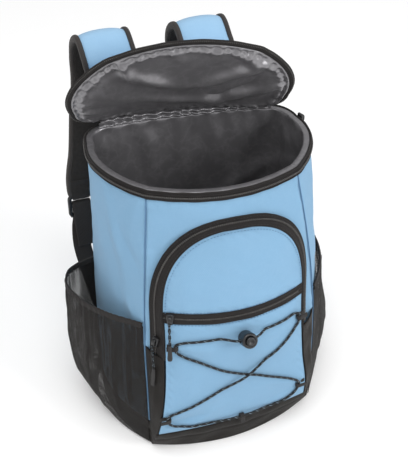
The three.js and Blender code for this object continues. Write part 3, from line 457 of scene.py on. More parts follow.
def tableAt(table, key, column, at):
    # A cubic through the rows. A row's slope is the harmonic mean of its neighbours', so nothing overshoots.
    x, y = np.array(table[key], float), np.array(table[column], float)
    step = np.diff(x)
    rise = np.diff(y) / step
    both = rise[:-1] * rise[1:]
    slope = np.concatenate([rise[:1], np.where(both > 0, 2 * both / (rise[:-1] + rise[1:] + 1e-12), 0),
                            rise[-1:]])
    place = np.clip(at, x[0], x[-1])
    i = np.clip(np.searchsorted(x, place, "right") - 1, 0, len(step) - 1)
    t = (place - x[i]) / step[i]
    ends = y[i] * (1 + 2 * t) * (1 - t) ** 2 + y[i + 1] * t**2 * (3 - 2 * t)
    return ends + step[i] * (slope[i] * t * (1 - t) ** 2 - slope[i + 1] * t**2 * (1 - t))


def bodySection(height):
    # Sizes of the body's outline at a height: each full size times its share in the rows.
    up = np.asarray(height, float) / body["height"]
    sizes = {"half": "backHalf", "seam": "seamHalf", "depth": "depth", "bow": "bow", "bulge": "bulge"}
    return {key: body[size] * tableAt(bodyRows, "up", key, up) for key, size in sizes.items()}


def pocketSection(height):
    # The same for the front pocket: its middle, half width, and depth at its edges and its middle.
    up = np.asarray(height, float) / body["height"]
    return {
        "middleX": -pocket["shift"] * tableAt(pocketRows, "up", "shift", up),
        "half": body["seamHalf"] * tableAt(pocketRows, "up", "half", up),
        "edge": body["depth"] * tableAt(pocketRows, "up", "edge", up),
        "middle": (body["depth"] + body["bow"]) * tableAt(pocketRows, "up", "middle", up),
    }


# Soft unevenness of all the cloth: each row is a wave's direction, its length, its height and its start
clothWaves = np.array([
    (0.9, 0.3, 0.2, 118, 0.55, 0.4), (-0.3, 0.8, 0.5, 84, 0.45, 2.1), (0.2, -0.4, 0.9, 63, 0.40, 4.4),
    (0.7, 0.6, -0.4, 47, 0.30, 1.3), (-0.6, 0.2, 0.8, 36, 0.22, 5.2), (0.4, -0.9, 0.3, 27, 0.14, 3.6),
    (0.5, 0.5, 0.7, 19, 0.08, 0.9),
])


def clothWave(points, size=1.0):
    # The sum of the waves' sines at each point, whose lengths are all multiplied by size.
    way = clothWaves[:, :3] / np.linalg.norm(clothWaves[:, :3], axis=1)[:, None]
    phase = points @ way.T * (2 * pi / (clothWaves[:, 3] * size)) + clothWaves[:, 5]
    return np.sin(phase + 0.8 * np.sin(phase * 0.37 + 1.0)) @ clothWaves[:, 4]


def bell(away, wide):
    # A bell curve: e to the power of minus the square of a distance over the bell's width.
    return np.exp(-((away / wide) ** 2))


def folds(rows, u, v):
    # Each fold is a ridge between two places: a bell across it, which fades past both of its ends.
    total = np.zeros(np.broadcast(u, v).shape)
    for uFrom, vFrom, uTo, vTo, wide, high in rows:
        along = np.array((uTo - uFrom, vTo - vFrom), float)
        length = np.hypot(*along)
        along /= length
        there = (u - uFrom) * along[0] + (v - vFrom) * along[1]
        beside = (u - uFrom) * along[1] - (v - vFrom) * along[0]
        past = np.maximum(0, np.maximum(-there, there - length))
        taper = 0.55 + 0.45 * np.sin(np.clip(there / length, 0, 1) * pi)
        total += high * taper * np.exp(-((beside / wide) ** 2) - (past / (1.6 * wide)) ** 2)
    return total


def gridFaces(rows, columns, around, along):
    # Quads between neighbouring rows and columns, joined end to end where the grid closes.
    r = np.arange(rows if along else rows - 1)[:, None]
    c = np.arange(columns if around else columns - 1)[None, :]
    rUp, cNext = (r + 1) % rows, (c + 1) % columns
    corners = [r * columns + c, r * columns + cNext, rUp * columns + cNext, rUp * columns + c]
    return np.stack(np.broadcast_arrays(*corners), -1).reshape(-1, 4)


def clothUv(points, around, along):
    # Lengths in metres over the surface: the mean distance from column to column, and from row to row.
    closedU = np.concatenate([points, points[:, :1]], 1) if around else points
    closedV = np.concatenate([points, points[:1]], 0) if along else points
    u = np.cumsum(np.linalg.norm(np.diff(closedU, axis=1), axis=2).mean(0)) * 0.001
    v = np.cumsum(np.linalg.norm(np.diff(closedV, axis=0), axis=2).mean(1)) * 0.001
    return np.concatenate([[0], u]), np.concatenate([[0], v])


def enclosed(points, faces):
    # Six times the volume within the faces, from the triangles of each, which is negative where they face in.
    total = 0.0
    for face in faces:
        a = points[face[:, 0]]
        for i in range(1, face.shape[1] - 1):
            total += np.einsum("ij,ij->i", a, np.cross(points[face[:, i]], points[face[:, i + 1]])).sum()
    return total


def finish(thing, material, nodes=(), rider="pack"):
    # A piece's material, smooth faces, body and the nodes that it replaces.
    thing.data.materials.append(materials[material])
    thing.data.polygons.foreach_set("use_smooth", [True] * len(thing.data.polygons))
    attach(thing, rider)
    if nodes:
        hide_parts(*nodes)
    return thing


def addMesh(name, points, quads, caps, uv, look, nodes=(), rider="pack"):
    # Points in millimetres from the back wall become a mesh in metres in the frame.
    placed = (points + np.array((0, restPoint, 0))) * 0.001
    mesh = bpy.data.meshes.new(name)
    mesh.from_pydata(placed.tolist(), [], quads.tolist() + [list(cap) for cap in caps])
    layer = mesh.uv_layers.new(name="cloth")
    loops = np.zeros((len(mesh.loops), 2))
    loops[: uv.shape[0]] = uv
    layer.data.foreach_set("uv", loops.ravel())
    thing = bpy.data.objects.new(name, mesh)
    scene.collection.objects.link(thing)
    return finish(thing, look[0], nodes, rider)


def addGrid(name, points, look, nodes=(), around=False, along=False, capped=False, wall=0.0, side=-1,
            outward=None,
            rider="pack", even=True):
    # A grid of points as a piece: closed round or along, capped at its ends, or an open sheet with a wall.
    rows, columns = points.shape[:2]
    flat = points.reshape(-1, 3)
    quads = gridFaces(rows, columns, around, along)
    u, v = clothUv(points, around, along)
    r = np.arange(rows if along else rows - 1)[:, None, None]
    c = np.arange(columns if around else columns - 1)[None, :, None]
    uAt = u[c + np.array((0, 1, 1, 0))] + 0 * r
    vAt = v[r + np.array((0, 0, 1, 1))] + 0 * c
    uv = np.stack([uAt, vAt], -1).reshape(-1, 2)
    caps = []
    if capped:
        caps = [np.arange(columns)[::-1], np.arange(columns) + (rows - 1) * columns]
    closed = (around and along) or capped
    if closed:
        middle = flat.mean(0)
        inward = enclosed(flat - middle, [quads] + [np.array([cap]) for cap in caps]) < 0
    else:
        a, b, d = flat[quads[:, 0]], flat[quads[:, 1]], flat[quads[:, 3]]
        normals = np.cross(b - a, d - a)
        hint = outward(flat[quads].mean(1)) if callable(outward) else np.array(outward, float)
        inward = (normals * hint).sum() < 0
    if inward:
        quads = quads[:, ::-1]
        uv = uv.reshape(-1, 4, 2)[:, ::-1].reshape(-1, 2)
        caps = [cap[::-1] for cap in caps]
    thing = addMesh(name, flat, quads, caps, uv, look, nodes, rider)
    if wall:
        solid = thing.modifiers.new("wall", "SOLIDIFY")
        solid.thickness = wall * 0.001
        solid.offset = side
        solid.use_even_offset = even
    return thing


def unit(vectors):
    # Vectors divided by their lengths.
    return vectors / np.maximum(1e-9, np.linalg.norm(vectors, axis=-1, keepdims=True))


def routeThrough(points, count):
    # A centripetal Catmull-Rom curve through the points, evaluated in even shares of its spans.
    p = np.array(points, float)
    p = np.concatenate([[2 * p[0] - p[1]], p, [2 * p[-1] - p[-2]]])
    place = np.linspace(0, len(p) - 3, count)
    i = np.minimum(place.astype(int), len(p) - 4)
    t = (place - i)[:, None]
    gaps = np.sqrt(np.linalg.norm(np.diff(p, axis=0), axis=1))[:, None]
    d0, d1, d2 = gaps[i], gaps[i + 1], gaps[i + 2]
    a, b, c, d = p[i], p[i + 1], p[i + 2], p[i + 3]
    start = d1 * ((b - a) / d0 - (c - a) / (d0 + d1) + (c - b) / d1)
    end = d1 * ((c - b) / d1 - (d - b) / (d1 + d2) + (d - c) / d2)
    square = -3 * b + 3 * c - 2 * start - end
    return b + t * (start + t * (square + t * (2 * b - 2 * c + start + end)))


def evenRoute(points, gap):
    # The same curve with its points a set gap apart.
    dense = routeThrough(points, 60 * len(points))
    length = np.concatenate([[0], np.cumsum(np.linalg.norm(np.diff(dense, axis=0), axis=1))])
    at = np.linspace(0, length[-1], max(3, int(length[-1] / gap) + 1))
    return np.stack([np.interp(at, length, dense[:, k]) for k in range(3)], 1)


def carried(route, up, profile):
    # A profile carried along a route: its first value goes to the side, its second towards up.
    way = unit(np.gradient(route, axis=0))
    side = unit(np.cross(way, np.broadcast_to(up, route.shape)))
    over = np.cross(side, way)
    if profile.ndim == 2:
        profile = np.broadcast_to(profile, (len(route), *profile.shape))
    return route[:, None] + side[:, None] * profile[..., :1] + over[:, None] * profile[..., 1:2]


def ringProfile(halfWide, halfHigh, count=16, square=2.0):
    # A rounded section: a superellipse of the given power, as side and height.
    turn = np.linspace(0, 2 * pi, count, endpoint=False)
    cosine, sine = np.cos(turn), np.sin(turn)
    power = 2 / square
    across = halfWide * np.sign(cosine) * np.abs(cosine) ** power
    return np.stack([across, halfHigh * np.sign(sine) * np.abs(sine) ** power], 1)

# Body shell, lining and boot
ringSteps = {"back": 24, "corner": 12, "side": 46, "front": 42}
bodyDents = np.array([(-1, 0.62, 0.66, 4, 34), (-1, 0.8, 0.5, 3, 26), (1, 0.55, 0.72, 3, 30)])


def sidePoint(cut, along):
    # Half width and depth from the back corner to the front seam: a line with a parabola's bulge.
    across = cut["half"] + (cut["seam"] - cut["half"]) * along + 4 * cut["bulge"] * along * (1 - along)
    return across, body["corner"] + (cut["depth"] - body["corner"]) * along


def settle(across, depth, height):
    # How far the back wall has leaned, bowed and turned towards the wearer.
    up = np.minimum(1, height / body["height"])
    nearBack = np.maximum(0, 1 - depth / body["leanReach"])
    bow = body["backBow"] * (1 - (across / body["backHalf"]) ** 2)
    backTurned = across * math.tan(math.radians(body["turn"])) * up**2
    frontTurned = turned(across, height)
    return nearBack * up * (body["lean"] + bow) - frontTurned - (backTurned - frontTurned) * nearBack


def turned(across, height):
    # How far the turn brings the front forwards at a place.
    up = np.asarray(height, float) / body["height"]
    return across * np.tan(np.radians(body["turn"] * tableAt(bodyRows, "up", "turn", up)))


def halfOutline(cut, height):
    # Back wall straight, corner a quarter circle, side a bulged line and front a parabola.
    zero = 0 * height
    straight = np.linspace(0, 1, ringSteps["back"], endpoint=False)
    turn = np.linspace(0, pi / 2, ringSteps["corner"], endpoint=False)
    side = 1 - np.linspace(1, 0, ringSteps["side"]) ** 1.35
    front = 1 - np.linspace(0, 1, ringSteps["front"])[1:] ** 1.25
    corner = body["corner"]
    parts = [
        ((cut["half"] - corner) * straight, zero + 0 * straight),
        (cut["half"] - corner * (1 - np.sin(turn)), zero + corner * (1 - np.cos(turn))),
        sidePoint(cut, side),
        (cut["seam"] * front, cut["depth"] + cut["bow"] * (1 - front**2)),
    ]
    return np.concatenate([p[0] for p in parts], 1), np.concatenate([p[1] for p in parts], 1)


seamColumn = ringSteps["back"] + ringSteps["corner"] + ringSteps["side"] - 1


def bodyRing(height, inset):
    # The body's outline at each height, moved inwards, dented and settled. Gives points and inward ways.
    height = np.asarray(height, float)[:, None]
    inset = np.asarray(inset, float)[:, None]
    cut = bodySection(height)
    across, depth = halfOutline(cut, height)
    across = np.concatenate([across, -across[:, -2:0:-1]], 1)
    depth = np.concatenate([depth, depth[:, -2:0:-1]], 1)
    outline = np.stack([across, depth], -1)
    first = unit(outline - np.roll(outline, 1, 1))
    second = unit(np.roll(outline, -1, 1) - outline)
    normals = [np.stack([way[..., 1], -way[..., 0]], -1) for way in (first, second)]
    normal = unit(normals[0] + normals[1])
    mitre = np.maximum(0.6, (normal * normals[0]).sum(-1))
    push = inset + 0 * across
    for side, deep, up, dent, reach in bodyDents:
        far = (across - side * cut["half"]) ** 2 + (depth - deep * body["depth"]) ** 2
        push = push + dent * np.exp(-(far + (height - up * body["height"]) ** 2) / reach**2)
    moved = outline - normal * (push / mitre)[..., None]
    y = -moved[..., 1] + settle(across, depth, height)
    points = np.stack([moved[..., 0], y, height + 0 * across], -1)
    inward = np.stack([-normal[..., 0], normal[..., 1], 0 * across], -1)
    return points, inward


def fromSeam():
    # The distance of each column of the ring from the nearer front seam, in mm, ahead of it positive.
    points, _ = bodyRing([200.0], [0.0])
    gaps = np.linalg.norm(np.diff(points[0], axis=0), axis=1)
    length = np.concatenate([[0], np.cumsum(gaps)])
    mirror = 2 * (sum(ringSteps.values()) - 2) - seamColumn
    right = length - length[seamColumn]
    left = length[mirror] - length
    return np.where(np.abs(right) < np.abs(left), right, left)


# Folds of the body cloth on its left and right: distance from the seam and height, from and to, wide, high
bodyFolds = {
    "left": [(-62, 330, -28, 236, 9, 2.8), (-40, 300, -12, 262, 7, -2.0), (-30, 215, -6, 168, 8, 2.2),
             (-95, 300, -60, 210, 14, 1.6), (-8, 352, -20, 318, 6, 1.0), (12, 300, 26, 246, 8, -1.0)],
    "right": [(-50, 320, -24, 240, 10, 1.6), (-80, 290, -40, 220, 12, 1.2), (14, 310, 30, 260, 8, -0.9)],
    "front": [(40, 348, 96, 336, 7, 0.9), (70, 344, 120, 330, 6, -0.8)],
}


def seamPucker(away, height, size=1.0):
    # Stitching draws the cloth in: a groove at the seam and ripples that die out beside it.
    wave = np.sin(height / 2.35 + 1.7 * np.sin(height / 23.0)) * 0.5 + 0.5 * np.sin(height / 4.6 + 2.0)
    ripple = 0.45 * size * wave * np.exp(-((np.abs(away) - 2.5) ** 2) / 40.0)
    return ripple - 1.7 * size * bell(away, 1.5)


def bodySkin():
    # The foam wall: outside up, over the rim and down inside, lifted by waves, folds and seam puckers.
    low = body["bootWall"] + 0.4
    ledge = body["bootHeight"] + 0.4
    above = np.linspace(ledge, body["height"] - 2, 120)
    heights = np.concatenate([[low, ledge], above, [356.2, 357, 357, 356.2],
                              np.linspace(354, low + body["floor"], 12)])
    insets = np.concatenate([[low, low], 0 * above, [0.5, 2, 4, 5.6], np.full(12, body["foam"])])
    points, inward = bodyRing(heights, insets)
    away = fromSeam()[None, :]
    height = heights[:, None]
    outside = np.zeros(len(heights))
    outside[2:122] = 1
    atEdge = np.clip((height - ledge) / 10, 0, 1) * np.clip((body["height"] - 6 - height) / 18, 0, 1)
    lift = 0.9 * clothWave(points) * atEdge + seamPucker(away, height)
    left = points[..., 0] < 0
    front = points[..., 1] < -body["depth"] * 0.75
    lift = lift + np.where(left, folds(bodyFolds["left"], away, height),
                           folds(bodyFolds["right"], away, height))
    lift = lift + np.where(front, folds(bodyFolds["front"], away, height), 0) * atEdge
    rim = 0.5 * np.sin(away / 2.6 + 1.3 * np.sin(away / 31)) * bell(height - 346, 6)
    lift = (lift + rim) * outside[:, None] * np.clip(atEdge + 0.15, 0, 1)
    points = points - inward * lift[..., None]
    skin = addGrid("body_skin", points, ("blueCloth", "blue_cloth"), ["body_shell"], around=True,
                   capped=True)
    return skin


bodySkin()

# Lining: folds hang down its walls, with the film gathered under the rim
liningFolds = [
    (-60, 345, -52, 120, 9, 4.5), (-36, 350, -44, 150, 7, -3.0), (-14, 348, -4, 90, 11, 5.0),
    (16, 350, 8, 140, 7, -3.0),
    (34, 344, 44, 100, 10, 4.5), (62, 350, 54, 130, 8, 4.0), (84, 348, 92, 160, 9, -3.0),
    (-86, 340, -96, 120, 9, 3.5),
    (-20, 300, 40, 250, 9, 3.0), (30, 270, 80, 215, 8, 2.5),
]


def liningSkin():
    # The film: up behind the wall, over the rim and down inside, with hanging folds and gathers.
    outer = body["foam"] + 0.4
    inner = outer + body["lining"]
    floor = body["bootWall"] + 0.8 + body["floor"]
    lip = body["height"] + 0.4
    heights = np.concatenate([[floor], np.linspace(60, lip, 6),
                              [lip + 1.2, lip + 1.6, lip + 1.6, lip + 1.2],
                              np.linspace(lip - 1, floor + 9, 90), [floor + 3, floor + 1.4]])
    insets = np.concatenate([[outer] * 6, [outer], [0.6, 1.6, inner - 1, inner], np.full(90, inner),
                             [inner + 2, inner + 9]])
    insets[6] = 0.4
    points, inward = bodyRing(heights, insets)
    height = heights[:, None]
    inside = np.zeros((len(heights), 1))
    inside[11:101] = 1
    x, y = points[..., 0], points[..., 1]
    around = np.arctan2(x, -(y + 70)) * 95
    gather = bell(height - 344, 16) * (1.3 * np.sin(around / 3.1 + 1.5 * np.sin(around / 17)) + 0.8)
    hung = folds(liningFolds, around, height) + folds(liningFolds, np.abs(around) - 190, height)
    fade = np.clip((350 - height) / 22, 0, 1) * np.clip(height / 60, 0.2, 1)
    soft = 1.6 * clothWave(points * (1, 1, 0.45), 0.8)
    lift = inside * (gather + fade * (np.maximum(-2.5, hung) + soft + 1.5))
    lift = lift + inside * 1.1 * seamPucker(np.abs(np.abs(around) - 118), height, 0.7)
    points = points + inward * lift[..., None]
    addGrid("body_lining_film", points, ("liningFilm", "grey_lining"), ["body_lining"], around=True,
            capped=True)


liningSkin()


def bootRing(height, inset):
    # The boot's outline: the body's back and sides, and the front pocket's side walls and face.
    height = np.asarray(height, float)[:, None]
    inset = np.asarray(inset, float)[:, None]
    cut, face = bodySection(height), pocketSection(height)
    across, depth = halfOutline(cut, height)
    across, depth = across[:, : seamColumn + 1], depth[:, : seamColumn + 1]
    wall = np.linspace(0, 1, 12)[1:]
    share = 1 - 2 * np.linspace(0, 1, 81)[1:-1]
    faceX = face["middleX"] + face["half"] * share
    faceY = face["edge"] + (face["middle"] - face["edge"]) * (1 - share**2)
    rightX = cut["seam"] + (face["middleX"] + face["half"] - cut["seam"]) * wall
    leftX = -cut["seam"] + (face["middleX"] - face["half"] + cut["seam"]) * wall
    wallY = cut["depth"] + (face["edge"] - cut["depth"]) * wall
    ringX = np.concatenate([across, rightX, faceX, leftX[:, ::-1], -across[:, :0:-1]], 1)
    ringY = np.concatenate([depth, wallY, faceY, wallY[:, ::-1], depth[:, :0:-1]], 1)
    outline = np.stack([ringX, ringY], -1)
    way = unit(np.roll(outline, -1, 1) - np.roll(outline, 1, 1))
    normal = np.stack([way[..., 1], -way[..., 0]], -1)
    moved = outline - normal * inset[..., None]
    y = -moved[..., 1] + settle(ringX, ringY, height)
    inward = np.stack([-normal[..., 0], normal[..., 1], 0 * ringX], -1)
    return np.stack([moved[..., 0], y, height + 0 * ringX], -1), inward


def bootSkin():
    # The boot: from its sole up its outside, over its top edge and down to its floor.
    top = body["bootHeight"]
    wall = body["bootWall"]
    heights = np.concatenate([[0, 0, 0.8], np.linspace(2.5, top - 1.2, 34),
                              [top - 0.4, top, top, top - 0.4], [top - 3, 20, wall]])
    insets = np.concatenate([[14, 3, 0.9], np.full(34, 0.0), [0.3, 0.9, 1.7, wall], [wall, wall, wall]])
    points, inward = bootRing(heights, insets)
    height = heights[:, None]
    outside = np.zeros((len(heights), 1))
    outside[3:37] = 1
    length = np.cumsum(np.linalg.norm(points[20] - np.roll(points[20], 1, 0), axis=1))[None, :]
    roll = 1.0 * bell(height - 34, 6) - 0.9 * bell(height - 26, 2.4)
    crease = 0.8 * np.sin(length / 9 + 2 * np.sin(length / 41) + height / 14) * bell(height - 16, 12)
    lift = outside * (roll + crease + 0.8 * clothWave(points, 0.7)) * np.clip(height / 6, 0, 1)
    points = points - inward * lift[..., None]
    return addGrid("boot_cloth", points, ("blackCloth", "black_cloth"), ["base_boot"], around=True,
                   capped=True)


bootSkin()
print("body, lining and boot")

# Front pocket: panels, gussets and zips


def frontDepth(across, height):
    # How far the body's front stands from the back wall: a parabola between its seams, plus the turn.
    cut = bodySection(height)
    return cut["depth"] + cut["bow"] * (1 - (across / cut["seam"]) ** 2) + turned(across, height)


def faceDepth(across, height):
    # The same for the pocket's face: a parabola from its edges to its middle, plus the turn.
    face = pocketSection(height)
    share = (across - face["middleX"]) / face["half"]
    return face["edge"] + (face["middle"] - face["edge"]) * (1 - share**2) + turned(across, height)


def archHalf(height, margin):
    # Straight legs below the arch's middle, and a superellipse above it.
    rise = np.clip((height - pocket["archMiddle"]) / (pocket["archTop"] + margin - pocket["archMiddle"]), 0,
                   1)
    share = (1 - rise ** pocket["power"]) ** (1 / pocket["power"])
    above = (pocketSection(pocket["archMiddle"])["half"] + margin) * share
    return np.where(height <= pocket["archMiddle"], pocketSection(height)["half"] + margin, above)


def archPoint(along, margin):
    # From the left leg's foot over the top to the right leg's foot, as across and height.
    legs = 0.12
    side = np.where(along < 0.5, -1, 1)
    fromFoot = np.minimum(along, 1 - along)
    foot = pocket["gussetTop"] + 0.4
    legHeight = foot + (pocket["archMiddle"] - foot) * np.clip(fromFoot / legs, 0, 1)
    turn = np.clip((fromFoot - legs) / (0.5 - legs), 0, 1) * pi / 2
    grown = pocket["archTop"] + margin - pocket["archMiddle"]
    archHeight = pocket["archMiddle"] + grown * np.sin(turn) ** (2 / pocket["power"])
    half = (pocketSection(pocket["archMiddle"])["half"] + margin) * np.cos(turn) ** (2 / pocket["power"])
    onLeg = fromFoot <= legs
    height = np.where(onLeg, legHeight, archHeight)
    half = np.where(onLeg, archHalf(legHeight, margin), half)
    return pocketSection(height)["middleX"] + side * half, height


def archPlace(across, along, out=0.0):
    # The arch zip's outer face: across runs from the body's front up to the pocket's face.
    x, height = archPoint(along, pocket["tape"] * (1 - across))
    foot = frontDepth(x, height) + 0.8
    head = faceDepth(x, height) + pocket["coilProud"] - pocket["zipWall"]
    depth = np.maximum(foot, foot + (head - foot) * across) + pocket["zipWall"]
    return np.stack([x, -depth - out, height + 0 * x], -1)


# Folds of the two face panels: across and height, from and to, wide, high
panelFolds = {
    "lower": [(-90, 74, -40, 96, 8, 3.0), (-84, 64, -48, 66, 6, -2.2), (-70, 50, -30, 74, 7, 2.0),
              (-86, 184, -50, 176, 8, 2.6),
              (-80, 170, -44, 150, 7, -1.4), (66, 182, 34, 176, 8, 1.4), (70, 84, 40, 92, 7, 1.8),
              (72, 70, 44, 64, 6, -1.2),
              (-20, 204, 20, 200, 8, 1.2), (10, 150, 60, 156, 10, 1.2), (-60, 130, -70, 100, 9, 1.3)],
    "upper": [(-80, 236, -50, 270, 10, 1.2), (60, 236, 40, 280, 12, 1.0), (-40, 300, 30, 306, 9, 0.9),
              (-70, 228, -10, 232, 6, 1.1),
              (10, 230, 66, 234, 6, 1.0)],
}


def faceSurface(low, high, halfAt, columns, rows, bend=1.0):
    # A panel of the pocket's face between two heights, with its half width at each height.
    share = np.sin(np.linspace(0, 1, rows) * pi / 2) ** bend if bend != 1.0 else np.linspace(0, 1, rows)
    height = (low + (high - low) * share)[:, None]
    i = np.linspace(-1, 1, columns)[None, :]
    i = np.sign(i) * (1 - (1 - np.abs(i)) ** 1.25)
    across = pocketSection(height)["middleX"] + halfAt(height) * i
    return across, height + 0 * across, np.abs(i) + 0 * across, share[:, None] + 0 * across


def panelLift(key, across, height, side, up, tall):
    # Folds, waves, a soft puff and edge puckers of a face panel, which all end at its edges.
    flat = np.stack([across, -faceDepth(across, height), height + 0 * across], -1)
    edge = np.minimum(np.minimum((1 - side) * 90, (1 - up) * tall), up * tall)
    puff = 1.6 * (1 - (1 - np.clip(edge / 22, 0, 1)) ** 2)
    pucker = 0.5 * np.sin((across + height) / 2.3 + 1.6 * np.sin(height / 19)) * bell(edge - 4, 4)
    lift = folds(panelFolds[key], across, height) + 0.9 * clothWave(flat) + puff + pucker
    return flat, lift * np.clip(edge / 5, 0, 1)


def facePanel(name, node, low, high, halfAt, key, look, columns=110, rows=80, bend=1.0):
    # A panel of the face with its lift, as a sheet with the pocket's wall.
    across, height, side, up = faceSurface(low, high, halfAt, columns, rows, bend)
    flat, lift = panelLift(key, across, height, side, up, high - low)
    flat[..., 1] -= lift
    return addGrid(name, flat, look, [node], wall=pocket["wall"], side=-1, outward=(0, -1, 0))


def buildFace():
    # The two blue panels, below and above the middle zip.
    blueLook = ("blueCloth", "blue_cloth")
    ledge = body["bootHeight"] + 0.4
    midLow, midHigh = pocket["midHeight"] - pocket["midTape"] / 2, pocket["midHeight"] + pocket["midTape"] / 2
    facePanel("lower_panel", "pocket_panel_lower", ledge, midLow - 0.2, lambda h: archHalf(h, 0) - 2.4,
              "lower", blueLook)
    facePanel("upper_panel", "pocket_panel_upper", midHigh + 0.2, pocket["archTop"] - 2.2,
              lambda h: archHalf(h, -1.4),
              "upper", blueLook, bend=0.9)


buildFace()


def gussetSurface(sign, across, height):
    # From the front seam to the pocket's face, along the straight between them.
    cut, face = bodySection(height), pocketSection(height)
    seamX, edgeX = sign * cut["seam"], face["middleX"] + sign * face["half"]
    seam = np.stack([seamX + 0 * across, cut["depth"] + turned(seamX, height) + 0 * across], -1)
    edge = np.stack([edgeX + 0 * across, face["edge"] + turned(edgeX, height) + 0 * across], -1)
    way = unit(edge - seam)
    start = seam + way * 0.6
    point = start + (edge - start) * across[..., None]
    return point, np.stack([sign * way[..., 1], -sign * way[..., 0]], -1)


def buildGussets():
    # Black side walls of the pocket below the arch, slack and creased towards their middle.
    for label, sign in (("left", -1), ("right", 1)):
        height = np.linspace(body["bootHeight"] + 0.4, pocket["gussetTop"] + 1.5, 70)[:, None]
        across = np.linspace(0, 1, 22)[None, :] + 0 * height
        height = height + 0 * across
        point, out = gussetSurface(sign, across, height)
        middle = np.sin(across * pi)
        crease = folds([(0.2, 150, 0.5, 60, 0.12, 2.0), (0.75, 140, 0.6, 50, 0.1, -1.4)], across,
                       height) * middle
        slack = folds([(0.3 * 30, 150, 0.6 * 30, 96, 4, 1.6), (0.7 * 30, 110, 0.4 * 30, 52, 5, 1.8)],
                      across * 30, height)
        wave = 0.8 * np.sin(height / 6 + 2 * np.sin(height / 25))
        lift = 2.0 * middle + slack * middle + wave * middle + 0.3 * crease
        point = point + out * lift[..., None]
        points = np.stack([point[..., 0], -point[..., 1], height], -1)
        addGrid(f"gusset_{label}", points, ("blackCloth", "black_cloth"), [f"corner_gusset_{label}"],
                wall=1.8,
                outward=(sign, -1, 0))


buildGussets()


def coil(route, up, wide, high, pitch=2.3, steps=5):
    # Zip teeth: a tube whose size swells once a tooth, a cosine of the length along it.
    length = np.concatenate([[0], np.cumsum(np.linalg.norm(np.diff(route, axis=0), axis=1))])
    at = np.arange(0, length[-1], pitch / steps)
    line = np.stack([np.interp(at, length, route[:, k]) for k in range(3)], 1)
    ups = np.stack([np.interp(at, length, up[:, k]) for k in range(3)], 1) if np.ndim(up) == 2 else up
    swell = 0.74 + 0.36 * np.cos(2 * pi * at / pitch)
    profile = ringProfile(wide / 2, high / 2, 8)[None] * swell[:, None, None]
    return carried(line, ups, profile)


zipLook, coilLook = ("zipTape", "zip_tape"), ("coilNylon", "zip_tape")


def tapeProfile(across, coilAt, high=0.9):
    # A tape's height over its base: rolled edges, and a welt on both sides of the coil.
    edges = 0.9 * bell(across, 0.07) + 0.9 * bell(1 - across, 0.07)
    welt = high * (bell(across - coilAt - 0.16, 0.07) + bell(across - coilAt + 0.16, 0.07))
    return edges + welt


def buildArchZip():
    # The tape over the arch, with its coil along it.
    along = np.linspace(0, 1, 420)[:, None]
    across = np.linspace(0, 1, 26)[None, :]
    wander = 0.35 * np.sin(along * 160) + 0.3 * np.sin(along * 61 + 1)
    points = archPlace(across + 0 * along, along + 0 * across)
    points[..., 1] -= tapeProfile(across, 0.42) + 0.4 * wander * np.sin(across * pi) - 0.5
    addGrid("arch_zip_tape", points, zipLook, ["arch_zip"], wall=pocket["zipWall"], outward=(0, -1, 0))
    route = archPlace(np.full(600, 0.42), np.linspace(0.004, 0.996, 600), 0.4)
    ahead = np.broadcast_to((0.0, -1.0, 0.0), route.shape)
    addGrid("arch_zip_coil", coil(route, ahead, 3.4, 2.2), coilLook, around=True, capped=True)


def buildMidZip():
    # The tape across the face, with its coil along its middle.
    low, high = pocket["midHeight"] - pocket["midTape"] / 2, pocket["midHeight"] + pocket["midTape"] / 2
    across, height, side, up = faceSurface(low - 0.8, high + 0.8, lambda h: archHalf(h, -1.4), 120, 22)
    depth = faceDepth(across, height)
    points = np.stack([across, -depth - tapeProfile(up, 0.5) - 0.5 - 0.3 * np.sin(across / 7), height], -1)
    addGrid("mid_zip_tape", points, zipLook, ["mid_zip"], wall=pocket["wall"], outward=(0, -1, 0))
    x = np.linspace(-89, 75, 300)
    route = np.stack([x, -faceDepth(x, pocket["midHeight"]) - 1.0, np.full(300, pocket["midHeight"])], -1)
    addGrid("mid_zip_coil", coil(route, np.array((0.0, -1.0, 0.0)), 3.2, 2.0), coilLook, around=True,
            capped=True)


buildArchZip()
buildMidZip()


def stitches(name, route, out, look, long=2.4, gap=1.5, thick=0.42):
    # Short threads end to end along a route, each a small spindle sunk a little into the cloth.
    length = np.concatenate([[0], np.cumsum(np.linalg.norm(np.diff(route, axis=0), axis=1))])
    starts = np.arange(0.5, length[-1] - long, long + gap)
    share = np.linspace(0, 1, 5)
    at = starts[:, None] + long * share
    line = np.stack([np.interp(at, length, route[:, k]) for k in range(3)], -1)
    way = unit(line[:, -1] - line[:, 0])[:, None]
    side = unit(np.cross(way, np.broadcast_to(out, way.shape)))
    over = np.cross(side, way)
    turn = np.linspace(0, 2 * pi, 6, endpoint=False)
    radius = thick * np.array((0.25, 0.85, 1.0, 0.85, 0.25))
    ring = side[:, :, None] * np.cos(turn)[:, None] + over[:, :, None] * np.sin(turn)[:, None]
    points = line[:, :, None] + ring * radius[None, :, None, None]
    count = len(starts)
    quads = gridFaces(5, 6, True, False)
    quads = (quads[None] + (np.arange(count) * 30)[:, None, None]).reshape(-1, 4)
    caps = [cap + i * 30 for i in range(count) for cap in (np.arange(6)[::-1], np.arange(6) + 24)]
    if enclosed(points.reshape(-1, 3), [quads]) < 0:
        quads, caps = quads[:, ::-1], [cap[::-1] for cap in caps]
    return addMesh(name, points.reshape(-1, 3), quads, caps, np.zeros((len(quads) * 4, 2)), look)


